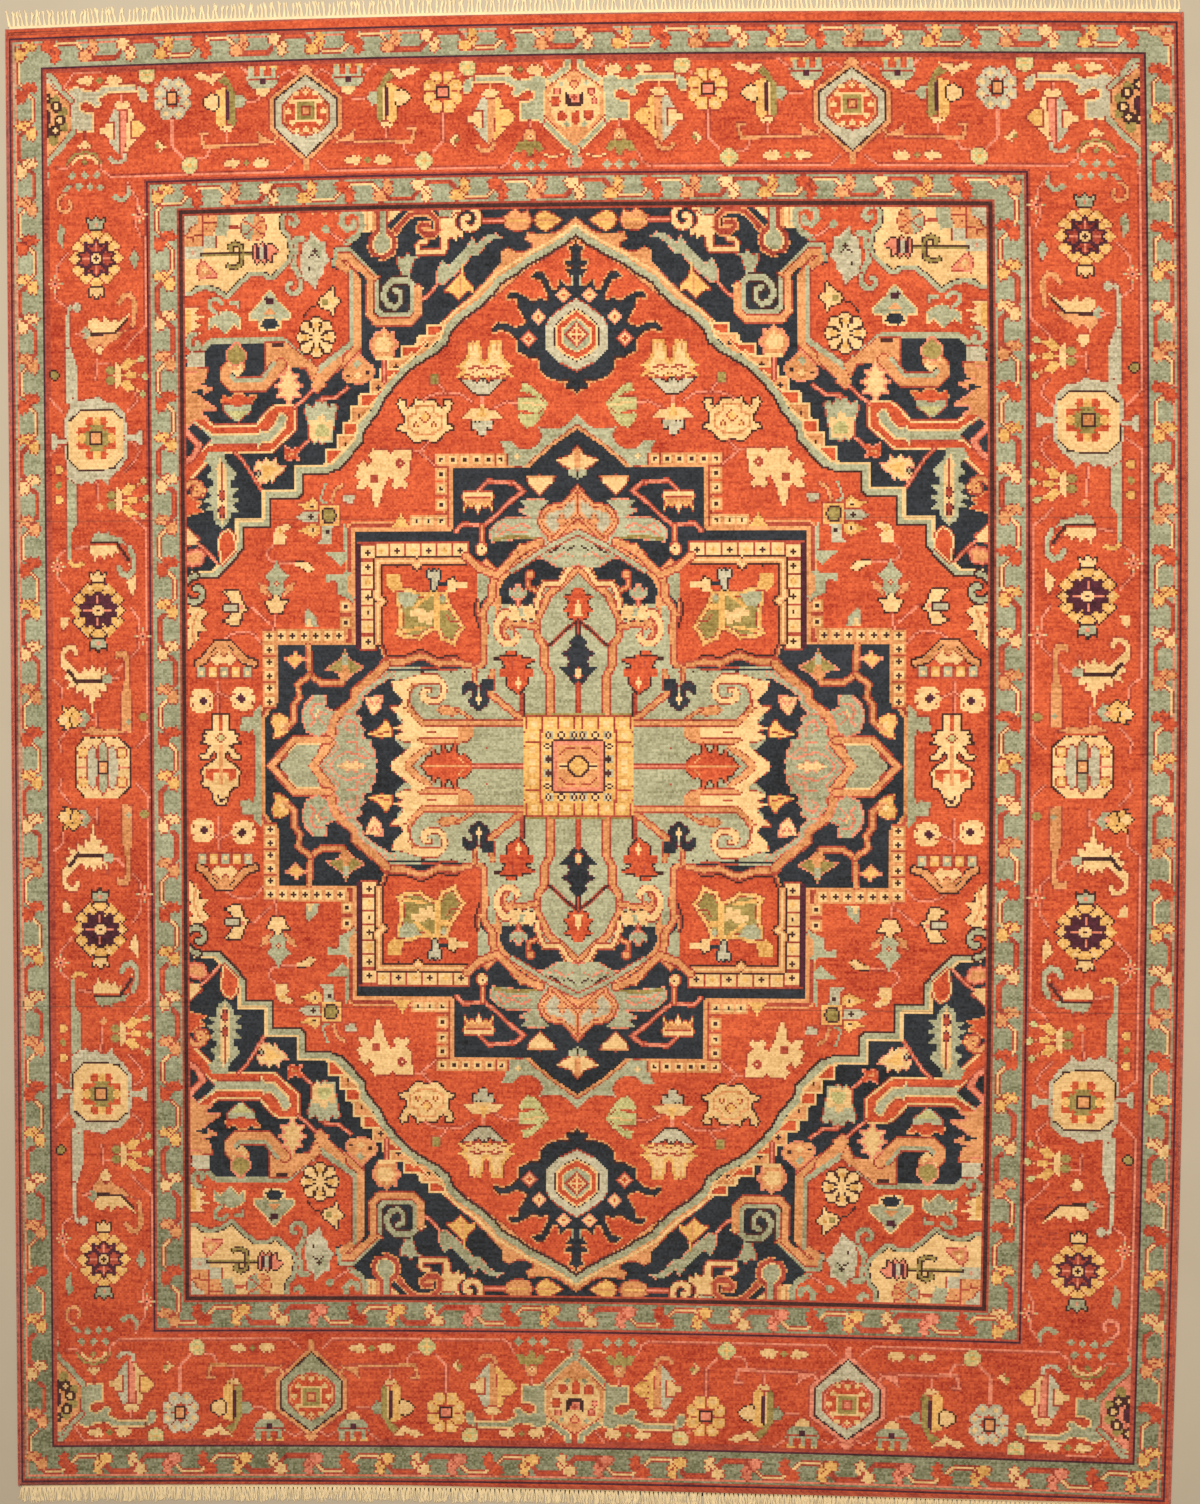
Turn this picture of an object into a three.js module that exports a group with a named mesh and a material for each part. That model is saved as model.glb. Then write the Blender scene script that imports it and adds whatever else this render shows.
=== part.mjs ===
// A hand-knotted wool rug of about 8 by 10 feet, lying flat on a floor.
// The knotted cloth is one slab of pile on its foundation. Its two sides are
// overcast into a round selvedge cord, and the warps of its two ends leave a
// narrow flat-woven strip and hang out as a knotted fringe.
// Units are millimetres, +Z is up, +Y runs along the warps to the top end.
// The origin is on the underside, in the middle of the rectangle that the
// weaver set out to fill.
import * as THREE from "three";

// Driving dimensions of the knotted cloth
const COLUMNS = 585; // knots across the rug
const ROWS = 737; // rows of knots along the rug
const COLUMN_PITCH = 4.17; // a little over six knots to the inch
const ROW_PITCH = 4.203;
const THICKNESS = 10; // foundation and pile together
const EDGE_THICKNESS = 5.5; // where the pile rolls over at the rim
const ROLL = 9; // how far in from the rim the pile is at full height
const SWELL = 0.7; // the pile's gentle unevenness

// How far a hand-woven rug strays from a true rectangle
const RIGHT_BOW = 20; // the right side bellies out at mid-length
const END_BOW = 16; // both ends arch towards +Y

// The sides and the ends
const SELVEDGE = 5.5; // diameter of the overcast cord
const STRIP_WIDTH = 7; // flat-woven strip between the pile and the fringe
const STRIP_INSET = 3; // how far the strip stops short of the pile's corners
const FRINGE_THICKNESS = 2.5;
const FRINGE_LENGTH = 32;
const LOCKS = 150; // locks of fringe at each end
const GAP = 0.3; // clearance between neighbouring solids

const HALF_WIDTH = (COLUMNS * COLUMN_PITCH) / 2;
const HALF_LENGTH = (ROWS * ROW_PITCH) / 2;

// The place on the floor of the point at shares s and t, from -1 to 1, of the
// half width and the half length.
function onRug(s, t) {
  const bow = RIGHT_BOW * (1 - t * t) * ((s + 1) / 2);
  const arch = END_BOW * (1 - s * s) * Math.min(1, t * t);
  return new THREE.Vector2(s * HALF_WIDTH + bow, t * HALF_LENGTH + arch);
}

// Repeatable unevenness from -1 to 1 for the lock of this number.
function uneven(number, kind) {
  const wave = Math.sin(number * 12.9898 + kind * 78.233) * 43758.5453;
  return 2 * (wave - Math.floor(wave)) - 1;
}

// Distances from one rim to the other: close together where the pile rolls
// over, then even.
function stations(length, inner) {
  const near = [0, ROLL * 0.12, ROLL * 0.4, ROLL];
  const middle = [];
  for (let i = 1; i < inner; i++) {
    middle.push(ROLL + ((length - 2 * ROLL) * i) / inner);
  }
  const far = near.map((d) => length - d).reverse();
  return [...near, ...middle, ...far];
}

// The pile's height at this distance from the nearest rim.
function pileHeight(distance, s, t) {
  const inward = Math.min(1, distance / ROLL);
  const round = Math.sqrt(1 - (1 - inward) ** 2);
  const swell = SWELL * inward * Math.sin(5 * s + 2 * t) * Math.cos(7 * t - s);
  return EDGE_THICKNESS + (THICKNESS - EDGE_THICKNESS) * round + swell;
}

// One closed slab: an uneven top, an upright rim and a flat underside.
function clothGeometry() {
  const across = stations(2 * HALF_WIDTH, 24);
  const along = stations(2 * HALF_LENGTH, 30);
  const columns = across.length;
  const rows = along.length;
  const points = [];
  along.forEach((y) => {
    across.forEach((x) => {
      const s = x / HALF_WIDTH - 1;
      const t = y / HALF_LENGTH - 1;
      const fromSide = Math.min(x, 2 * HALF_WIDTH - x);
      const fromEnd = Math.min(y, 2 * HALF_LENGTH - y);
      const place = onRug(s, t);
      const height = pileHeight(Math.min(fromSide, fromEnd), s, t);
      points.push(place.x, place.y, height);
    });
  });

  const faces = [];
  const at = (column, row) => row * columns + column;
  for (let row = 0; row + 1 < rows; row++) {
    for (let column = 0; column + 1 < columns; column++) {
      const [a, b] = [at(column, row), at(column + 1, row)];
      const [c, d] = [at(column + 1, row + 1), at(column, row + 1)];
      faces.push(a, b, c, a, c, d);
    }
  }

  // The rim, walked counterclockwise as seen from above
  const rim = [];
  for (let column = 0; column < columns - 1; column++) rim.push(at(column, 0));
  for (let row = 0; row < rows - 1; row++) rim.push(at(columns - 1, row));
  for (let column = columns - 1; column > 0; column--) {
    rim.push(at(column, rows - 1));
  }
  for (let row = rows - 1; row > 0; row--) rim.push(at(0, row));

  const floor = points.length / 3;
  const outline = rim.map((top) => {
    points.push(points[3 * top], points[3 * top + 1], 0);
    return new THREE.Vector2(points[3 * top], points[3 * top + 1]);
  });
  rim.forEach((top, i) => {
    const next = (i + 1) % rim.length;
    faces.push(top, floor + i, floor + next, top, floor + next, rim[next]);
  });
  THREE.ShapeUtils.triangulateShape(outline, []).forEach(([a, b, c]) => {
    faces.push(floor + a, floor + c, floor + b);
  });

  const geometry = new THREE.BufferGeometry();
  const positions = new THREE.Float32BufferAttribute(points, 3);
  geometry.setAttribute("position", positions).setIndex(faces);
  return geometry;
}

// The overcast cord along one side, side -1 for the left and 1 for the right.
function selvedgeGeometry(side) {
  const steps = 56;
  const radius = SELVEDGE / 2;
  const away = side * (radius + GAP);
  const route = [];
  for (let i = 0; i <= steps; i++) {
    const place = onRug(side, (2 * i) / steps - 1);
    route.push(new THREE.Vector3(place.x + away, place.y, radius));
  }
  const sides = 8;
  const section = [];
  for (let i = 0; i < sides; i++) {
    const angle = ((i + 0.5) / sides) * 2 * Math.PI;
    const corner = radius / Math.cos(Math.PI / sides);
    section.push(
      new THREE.Vector2(corner * Math.cos(angle), corner * Math.sin(angle)),
    );
  }
  return new THREE.ExtrudeGeometry(new THREE.Shape(section), {
    steps,
    extrudePath: new THREE.CatmullRomCurve3(route),
  });
}

// The strip and the locks of one end, end 1 for the top and -1 for the bottom,
// as one comb that lies flat on the floor.
function fringeGeometry(end) {
  const reachAcross = 1 - STRIP_INSET / HALF_WIDTH;
  const pitch = (2 * reachAcross) / LOCKS;
  const outward = (s, distance) => {
    const place = onRug(s, end);
    return new THREE.Vector2(place.x, place.y + end * distance);
  };
  const comb = [];
  for (let i = 0; i <= LOCKS; i++) {
    comb.push(outward(reachAcross - i * pitch, GAP));
  }
  for (let i = 0; i < LOCKS; i++) {
    const middle = (i + 0.5) * pitch - reachAcross;
    const lean = uneven(i, end) * pitch * 0.12;
    const reach = STRIP_WIDTH + FRINGE_LENGTH * (1 + 0.12 * uneven(i, 2 + end));
    const [root, tip] = [pitch * 0.36, pitch * 0.3];
    comb.push(outward(middle - root, STRIP_WIDTH));
    comb.push(outward(middle + lean - tip, reach - 1));
    comb.push(outward(middle + lean + tip, reach));
    comb.push(outward(middle + root, STRIP_WIDTH));
  }
  return new THREE.ExtrudeGeometry(new THREE.Shape(comb), {
    depth: FRINGE_THICKNESS,
    bevelEnabled: false,
  });
}

const madder = new THREE.MeshStandardMaterial({
  color: 0xc2492c,
  roughness: 0.95,
  metalness: 0,
});
const rust = new THREE.MeshStandardMaterial({
  color: 0xa63c26,
  roughness: 0.9,
  metalness: 0,
});
const cotton = new THREE.MeshStandardMaterial({
  color: 0xe6cfa0,
  roughness: 0.95,
  metalness: 0,
});

function piece(name, geometry, material) {
  const mesh = new THREE.Mesh(geometry, material);
  mesh.name = name;
  return mesh;
}

const rug = new THREE.Group();
rug.add(piece("knotted_cloth", clothGeometry(), madder));
rug.add(piece("selvedge_left", selvedgeGeometry(-1), rust));
rug.add(piece("selvedge_right", selvedgeGeometry(1), rust));
rug.add(piece("fringe_top", fringeGeometry(1), cotton));
rug.add(piece("fringe_bottom", fringeGeometry(-1), cotton));

export default rug;
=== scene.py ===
# %% [markdown]
# # A hand-knotted medallion rug
# A room-size wool rug of about 8 by 10 feet, knotted by hand, lies flat on a
# pale floor and is seen from above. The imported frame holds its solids: the
# knotted cloth, a selvedge cord down each side and a fringe at each end. This
# lesson dresses them. The frame comes first, because every piece is placed by
# it.

# %% Frame
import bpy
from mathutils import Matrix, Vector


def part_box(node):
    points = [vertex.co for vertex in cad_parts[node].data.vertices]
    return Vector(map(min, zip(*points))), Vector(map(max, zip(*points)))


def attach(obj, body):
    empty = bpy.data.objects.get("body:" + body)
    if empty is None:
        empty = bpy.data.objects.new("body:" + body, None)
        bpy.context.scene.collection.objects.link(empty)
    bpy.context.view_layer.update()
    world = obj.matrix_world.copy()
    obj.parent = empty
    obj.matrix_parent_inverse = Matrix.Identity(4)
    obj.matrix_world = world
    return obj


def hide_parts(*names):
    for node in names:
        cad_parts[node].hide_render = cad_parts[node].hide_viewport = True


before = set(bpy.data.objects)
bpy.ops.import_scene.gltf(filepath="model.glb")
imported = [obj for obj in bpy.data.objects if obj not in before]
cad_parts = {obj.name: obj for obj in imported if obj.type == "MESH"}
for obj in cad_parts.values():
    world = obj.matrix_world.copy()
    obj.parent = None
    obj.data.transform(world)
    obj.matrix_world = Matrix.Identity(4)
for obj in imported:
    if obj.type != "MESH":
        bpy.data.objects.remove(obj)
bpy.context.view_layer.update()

from math import cos, pi, radians, sin

import bpy
import numpy as np
from mathutils import Matrix, Quaternion, Vector

CLOTH_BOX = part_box("knotted_cloth")
THICKNESS = CLOTH_BOX[1][2]
print("cloth", [round(high - low, 3) for low, high in zip(*CLOTH_BOX)], "m")

# %% [markdown]
# The camera stands almost straight above the rug. A camera whose long side is
# 1504 pixels and whose focal length is 1800 of them sees what the photograph
# sees. It leans by a degree or two, which gives the rug its slight keystone.
# Blender measures a lens against the sensor's long side, so the focal length in
# pixels becomes millimetres by the ratio of the two.

# %% Camera
PHOTO_HEIGHT = 1504
FOCAL_PIXELS = 1800
SENSOR = 36
EYE = Vector((0.175, 0.132, 3.779))
LEAN = Vector((-1.55, 2.24, 0.03))

lens = bpy.data.cameras.new("camera")
lens.sensor_width = SENSOR
lens.lens = SENSOR * FOCAL_PIXELS / PHOTO_HEIGHT
camera = bpy.data.objects.new("camera", lens)
turn = Quaternion(LEAN.normalized(), radians(LEAN.length))
camera.matrix_world = Matrix.Translation(EYE) @ turn.to_matrix().to_4x4()
scene = bpy.context.scene
scene.collection.objects.link(camera)
scene.camera = camera
print("lens", round(lens.lens, 2), "mm")

# %% [markdown]
# ## The chart
# A weaver reads the design from a chart, one square for each knot, 585 across
# and 737 along. Dyed wool comes in a few colours, and every knot takes one of
# them. Painting such a chart with numbers in a picture file would fix its
# sharpness for ever, so it is drawn here by rule, in knots from the middle of
# the rug, and turned into real pieces later. These are the dye lots.

# %% Dye lots
YARNS = (
    ("madder", "#ba3f10"),
    ("navy", "#0f141c"),
    ("sage", "#999774"),
    ("sky", "#ada384"),
    ("apricot", "#c88349"),
    ("ivory", "#e2b67a"),
    ("gold", "#d89e4e"),
    ("olive", "#8b7632"),
    ("brown", "#380d06"),
    ("rose", "#cf7354"),
    ("plum", "#3e0716"),
    ("rust", "#9a2e14"),
    ("lime", "#afa768"),
    ("willow", "#8c8d6d"),
)
DYES = [name for name, colour in YARNS]
COLUMNS = 585
ROWS = 737
MIDDLE_COLUMN = COLUMNS // 2
MIDDLE_ROW = ROWS // 2
chart = np.full((ROWS, COLUMNS), DYES.index("madder"), np.uint8)
print(COLUMNS * ROWS, "knots of", len(DYES), "colours")

# %% [markdown]
# A motif is written as a few lines of text, the way a weaver would call it out.
# Each line gives a kind of mark, then its yarns with how far each reaches, then
# places in knots, with a slash before the next mark of the same kind and yarns.
# An area is an outline, and a half is one that mirrors itself about its own
# axis. A rope is a line, a curl is a spiral, and discs, gems and blocks are
# spots. The yarns are laid outermost first, so `brown 1 ivory 0` gives an ivory
# area with a brown line round it.

# %% How a motif is read


def pairs(text):
    """Turns "1,2 3,4" into pairs of numbers."""
    return [tuple(float(n) for n in pair.split(",")) for pair in text.split()]


def spiral(centre, radii, angles):
    """Points of a curl whose radius and angle (degrees) go from first to last."""
    steps = max(4, int(abs(angles[1] - angles[0]) / 18))
    route = []
    for i in range(steps + 1):
        share = i / steps
        radius = radii[0] + (radii[1] - radii[0]) * share
        angle = radians(angles[0] + (angles[1] - angles[0]) * share)
        route.append((centre[0] + radius * cos(angle), centre[1] + radius * sin(angle)))
    return route


def distance(route, x, y, closed):
    """How far each knot is from a route, less than 0 inside a closed one."""
    far = np.full(x.shape, 1e9)
    within = np.zeros(x.shape, bool)
    ends = route[1:] + route[:1] if closed else route[1:]
    for (ax, ay), (bx, by) in zip(route, ends):
        dx, dy = bx - ax, by - ay
        share = ((x - ax) * dx + (y - ay) * dy) / (dx * dx + dy * dy or 1)
        share = np.clip(share, 0, 1)
        far = np.minimum(far, np.hypot(x - ax - share * dx, y - ay - share * dy))
        if dy:
            within ^= ((ay > y) != (by > y)) & (x < ax + (y - ay) * dx / dy)
    return np.where(within, -far, far) if closed else far


def lay(kind, coats, route):
    """Knots one mark into the chart."""
    if kind in ("disc", "gem", "block") and len(route) > 1:
        for spot in route:
            lay(kind, coats, [spot])
        return
    widest = max(reach for yarn, reach in coats) + 1
    xs, ys = zip(*route)
    left = max(0, int(min(xs) - widest) + MIDDLE_COLUMN)
    right = min(COLUMNS, int(max(xs) + widest) + 2 + MIDDLE_COLUMN)
    low = max(0, int(min(ys) - widest) + MIDDLE_ROW)
    high = min(ROWS, int(max(ys) + widest) + 2 + MIDDLE_ROW)
    if left >= right or low >= high:
        return
    y, x = np.mgrid[low:high, left:right].astype(float)
    x -= MIDDLE_COLUMN
    y -= MIDDLE_ROW
    dx, dy = abs(x - xs[0]), abs(y - ys[0])
    if kind == "disc":
        far = np.hypot(dx, dy)
    elif kind == "gem":
        far = dx + dy
    elif kind == "block":
        far = np.maximum(dx, dy)
    else:
        far = distance(route, x, y, kind in ("area", "half"))
    part = chart[low:high, left:right]
    for yarn, reach in coats:
        part[far <= reach] = DYES.index(yarn)


def turned(x, y, turn, flip):
    """A point flipped left to right, then turned by this many degrees."""
    c, s = round(cos(radians(turn)), 6), round(sin(radians(turn)), 6)
    return c * flip * x - s * y, s * flip * x + c * y


def work(motif, at="0,0", turn=0, flip=1, swap=None):
    """Knots a motif at each of these places, turned, flipped or in other yarns."""
    swap = swap or {}
    places = pairs(at) if isinstance(at, str) else at
    for line in motif.strip().splitlines():
        words, routes = line.split("|")
        kind, *words = words.split()
        coats = [(swap.get(yarn, yarn), float(reach))
                 for yarn, reach in zip(words[::2], words[1::2])]
        for route in map(pairs, routes.split("/")):
            if kind == "curl":
                route = spiral(*route)
            if kind == "half":
                route += [(-x, y) for x, y in reversed(route)]
            route = [turned(x, y, turn, flip) for x, y in route]
            for px, py in places:
                lay(kind, coats, [(px + x, py + y) for x, y in route])


print("area, half, rope, curl, disc, gem and block")

# %% [markdown]
# ## The field
# The drawing repeats in each quarter of the field, so one quarter is charted
# and the others mirror it. Two outlines rule it: the edge of the red field,
# which steps down from the middle of the end to the side, with navy outside,
# and the stepped outline of the navy medallion.

# %% Outlines of the field and the medallion
FIELD_EDGE = pairs("""0,262 7,257 16,252 24,248 31,243 39,238.5 43,233 50,227 59,221 64,216 67,209
    72,205 81,200 88,195 95,187 99,182 102,176 106,171 109,168 110.5,161 116,155 122,149 126,147.5
    141.5,147.5 141.5,135.5 158,135.5 158,121 172,121 172,109.5 179,101.5 184.5,95.7 195,95.5""")
MEDALLION = pairs("""0,167 12,159 25,148 63.5,148 63.5,117.5 113.5,117.5 113.5,61 153,61 153,33
    160.5,24 160.5,0""")
RED_FIELD = FIELD_EDGE + pairs("204,95 204,-2 -2,-2 -2,262")
lay("area", [("navy", 400)], RED_FIELD)
lay("area", [("madder", 0)], RED_FIELD)
inside = MEDALLION + pairs("160.5,-9 -9,-9 -9,167")
lay("area", [("apricot", 3.6), ("rust", 2.6), ("rust", 1.4), ("apricot", 0.8), ("navy", -0.7)], inside)


def moved(route, by):
    """A route shifted along both directions."""
    return [(x + by, y + by) for x, y in route]


print("field edge", len(FIELD_EDGE), "corners; medallion", len(MEDALLION))

# %% [markdown]
# ## The medallion
# Inside the stepped outline lies a navy ground with ivory bands of little
# cells, and on it a large sage cross with a square at its heart. Apricot lines
# with thin rust edges run along every form, as is usual in this kind of rug.

# %% Bands of cells


def along(route, pitch):
    """Places spaced evenly along a route."""
    spots = []
    for (ax, ay), (bx, by) in zip(route, route[1:]):
        count = max(1, round(np.hypot(bx - ax, by - ay) / pitch))
        for i in range(count):
            share = (i + 0.5) / count
            spots.append((ax + (bx - ax) * share, ay + (by - ay) * share))
    return spots


def cells(route, pitch, *marks):
    """A band of cells along a route, each with one of these marks in turn."""
    for number, (x, y) in enumerate(along(pairs(route), pitch)):
        work(marks[number % len(marks)], f"{x},{y}")


# %% Medallion edge
GOLD_CELL = """
block rust 3.4 apricot 3 ivory 2 | 0,0
gem brown 1.4 | 0,0
"""
IVORY_CELL = """
block rust 4 ivory 3 | 0,0
gem brown 1.4 | 0,0
"""
PALE_CELL = """
block rust 4 ivory 3 | 0,0
gem gold 1.8 | 0,0
"""
work("""
area rust 0.5 sage 0 | 0,173 5,168 10,166 19,167 17,163 20,158 24,156 30,157 33,160 38,160 36,155 35,149 \
27,148 14,159 0,169
disc ivory 1.2 | 30,153
area rust 0.5 sage 0 | 162,30 165,27 166,24.4 171.4,25 172.4,18 168,17 165.6,18.6 164.6,14 164.6,0 162,0
""")
cells("35,151.6 72,151.6", 6.2, GOLD_CELL)
cells("68.6,148.5 68.6,118", 7.7, GOLD_CELL)
cells("72,121.4 84,121.4", 6, GOLD_CELL)
cells("117.6,83 117.6,68", 7.5, GOLD_CELL)
cells("117.6,65 154,65", 6.1, GOLD_CELL)
cells("157,68 157,29", 6.5, GOLD_CELL)
work("""
area rust 0.5 gold 0 | 85,119 87,122 89,125 91,122 93,119
area rust 0.5 sage 0 | 117,97 118,94 127,94.5 127,92 122,91.5 121,86 117,84 114,81.5 113,84 118,88 118,92 \
115,96
area apricot 0 | 114,97 114,84 117,88 117,93
""")
cells("55,107 111,107", 8, IVORY_CELL, PALE_CELL)
cells("106,110 106,58", 7.4, IVORY_CELL, IVORY_CELL, PALE_CELL)
work("""
area plum 0 | 110,110 112.4,110 112.4,59 110,59
""")

# %% Red panels
CLOUD = """
area rust 0.9 gold 0 ivory -1.2 rust -1.6 olive -2.2 | 57,69 60,74 64,80 66,87 80,86 84,88 89,89 90,95 \
96,95 96,90 92,87 91,80 90,75 90,70 92,66 88,64 80,63 76,66 71,68 69,63 62,60 60,65
area rust 0.5 gold 0 | 88,88 90,95 96,95 96,90 93,87
area sage 0 | 80,85 84,86 90,86 90,82 87,79 83,80
rope gold 1 | 66,79 71,79 71,86 / 74,86 82,79
rope ivory 1.8 | 72,76 77,74 79,77 83,76
disc ivory 1.8 | 75,72 79,73
rope gold 1.2 | 71,80 71,69
rope sage 1.2 | 68,83 68,84
rope gold 0.8 | 77,69 84,68 89,67
rope rust 0.4 | 60,72 64,72 66,75
"""
PANEL_FLOWER = """
area brown 0.8 ivory 0 | 56,89 61,89 62,87 65,87 65,89.5 66,91 65,92 62.5,94 61.5,91 56,91
rope navy 1.1 sky 0.4 | 66,90.5 71,90.5
area navy 1 sky 0 | 70,97 70,93 71.5,88 73,88 73.5,93 75,94 75,97 73,96 72.5,98 71.5,96
"""
work("""
area apricot 3 rust 2 brown 1 madder 0 | 50,51 56,51 60,55 63,56 70,54.5 75,57 79,59 84,57 88,55.5 96,55.5 \
97,59 99,62 99,72 98,74 98,80 100,82 98,84 98.5,99 84,99 81,97 79,99 54,100 50,99 49.5,90 51,84 53,80 \
52,74 50,68
""")
work(CLOUD)
work(PANEL_FLOWER)
work("""
rope brown 2.6 apricot 1.6 ivory 0.6 | 56,102 79,102 81,99.5 83,102 101,102 101.5,84 98.5,82 101,80 101,62
""")

# %% Sage cross and its lines
LINE = "rope rust 2.1 apricot 1.2"
work("""
area brown 0.6 sage 0 | 50,47 100,47 110,40 115,32 127,25 127,10 140,0 40,0 40,47
area navy 0 | 86,-2 88,8 93,14 86,18 92,24 86,31 92,38 93,43 97,44 102,41 108,37 110,33 112,28 117,26 \
111,20 110,14 104,9 102,4 102,-2
""")
work(f"""
area apricot 0 | 42,50 46,50 46,80 41,95 35,99 27,104 20,110 14,112 0,124 -2,98 10,88 20,74 17,60
area rust 0.6 sage 0 | -2,99 4,96 10,90 18,90 20,84 22,80 38,80 42,72 46,62 46,24 46,-2 -2,-2
area rust 0.4 sage 0 | 42,62 46,62 45.5,70 45.5,79 41.5,79 / 42,95 42,91 44,88 46,85 49,82 50,84 50,95 \
46,95
{LINE} | 46,101 41,95 43,90 43,84 46,80 48,76 47,70 47.4,52 50,49 62,52 70,51 76,54 80,55 88,52 98,52
rope rust 0.5 sage 0 | 46,48 60,48 80,49 97,49
{LINE} | 0,98 5,93 11,88 15,85 17,80 20,74 21,70 20,64 17,60 17,50 14,45 14,24
rope rust 1.8 ivory 1 | -1,102 5,97 9,90.5 17,90.5 19.5,86 20.5,80 21.5,76
{LINE} | 21,69 29,71 36,71 38.5,68 38,63
area brown 0.5 ivory 0 | 21,78 24,80 31,79 34,80 34,73 30,72 27,74 25,71 24,74 22,73
area sage 0 | 27,75 28,78 30,78 29,75
area rust 0.6 ivory 0 | 34,78 38,77.5 40.5,75 42,71 42,66 40,62 37,60 33,60 30,62 29,65 31.5,67 32,64 \
34,62.4 37,62.6 39,65 39.2,70 38,73 35,75
curl rust 1.2 apricot 0.6 | 34.4,67.5 3.5,1.6 -70,150
area navy 0 | 7,99 10,93 18,92.5 21,88 22.5,81 38.5,80.5 39.5,88 37,92 32,97 27,102 10,103
rope rust 1.4 apricot 0.8 | 21,87 25,89 25,93 24,95
disc rust 2.4 apricot 1.8 | 24,95
rope rust 1.2 rose 0.6 | 30,80 30,84
area rose 0.7 sage 0 | 26,87.4 26,85 28,83.6 32,83.6 34,85 34,87.4 32,86.6 30.7,89.4 29.3,89.4 28,86.6
""")

# %% Stems and palmettes of the cross
RED_PALMETTE = """
area brown 0.9 madder 0 | 0,-1 5.5,3 6,8 9,8 9,11 6,12 8,16 12,16.5 8,17.4 6,17 6,19 5,20 2,20 1,18 -1,18 \
-2,16.5 -8,16 -4,14 -3,12 -7,11 -7,8 -4.5,8 -4.5,4
area ivory 0 | 0,2 1.7,4.4 0,7 -1.7,4.4
rope brown 0.5 | 1,18.4 6,18.4
rope rust 0.5 | 3,13 3,15
"""
NAVY_TREFOIL = """
area plum 0.8 navy 0 | 0,-4 4,-1 5,1 3,2 2.6,5 5,7 8,4 8,8 5,10 2,9 1,5 0,3.6 -1,5 -2,11 -7,11 -7,6 -5,6 \
-4,7 -3,3 -5,1 -4,-1
area ivory 0 | 0,-1 1.8,1.4 0,4 -1.8,1.4
"""
HEART_PALMETTE = """
half brown 0.8 madder 0 | 0,72 2,73 5,74 4,77 7,77 5,80 4,82 7,84 3.5,85 2,88 0,88
half ivory 0 | 0,74 2,75 1.6,79 0,82
"""
STAR_PALMETTE = """
half plum 0.7 navy 0 | 0,41 3,42 4,45 6,46 9,49 5,49 4,52 5,55 8,56 4.6,57.5 3,60 4,62 2,64 0,66
half rust 0.5 ivory 0 | 0,43.6 1.6,45 1,48 0,48.5
"""
work(HEART_PALMETTE)
work(STAR_PALMETTE)
work("""
rope rust 1.1 brown 0.5 | 0,73 15,59.6
rope brown 1 rust 0.6 | 0,72 0,66
rope rust 1.3 madder 0.7 | 0,24 0,41
rope brown 1.6 rust 1 | 28.4,22 28.4,36
rope rust 1.9 apricot 1.1 | 28,23 44,36 43,47
rope rust 1.5 apricot 0.8 | 51.5,40 52.5,49
rope rust 1.1 apricot 0.6 | 53,23 60,28 64,28.5
area rust 0.6 apricot 0 | 61,26 63,29 68,30 71,28 68,26 63,25.4
""")
work(RED_PALMETTE, "30,37")
work(NAVY_TREFOIL, "50,32")

# %% Arm of the cross
HALF_FLOWER = """
area brown 0.8 madder 0 | 54,-1 54,2 56,4 57,6 59,5 61,6.4 62,12 64,7 66,6.6 68,11 69.4,6 71,5.6 73,8 74,4 \
76,4.4 77,2 80,0 80,-1
rope apricot 0.7 | 55,0 78,0
rope apricot 0.5 | 58,2 60,4
"""
work(f"""
rope rust 1.3 rose 0.7 | 27,0 54,0
{LINE} | 27,21.4 78,21.4 83,25 86,30 87,36 84,41 79,43 70,43
area rust 0.6 apricot 0 | 53,19.6 53,15 56,12.5 60,11.6 80,11 90,5 93,-2 86,-2 80,5 76,7 74,10 86,13 88,22 \
84,22 78,20
area rust 0.5 ivory 0 | 61,16 75,16 78,15 88,16 92,14 88,12.5 84,12 84,10 90,5 94,2 95,-2 90,-2 86,4 79,9 \
76,10 82,13 80,14.5 61,14.5 / 61,15 61,19 78,19 82,22 87,28 90,30 95,29.5 89,24 88,21 93,19 88,17.5 92,15
area ivory 0 | 85,26 88,33 93,38 93,42 88,42 85,38 86,31
area rust 0.5 ivory 0 | 94,42 93,38 88,33 90,30 86,29 87,37 84,41.5 78,42 71,42 68.5,40 68.5,37 70,34 \
74,33.6 77,35 76,37.4 74.4,36.5 74,38.6 78,39 79.5,36 79,33 76,31 70,31.4 67,34 66,39 68,43 71,45.5 \
79,45.5 85,44 90,42.6
rope rust 0.4 | 72,17 76,17
""")
work(HALF_FLOWER)

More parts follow.
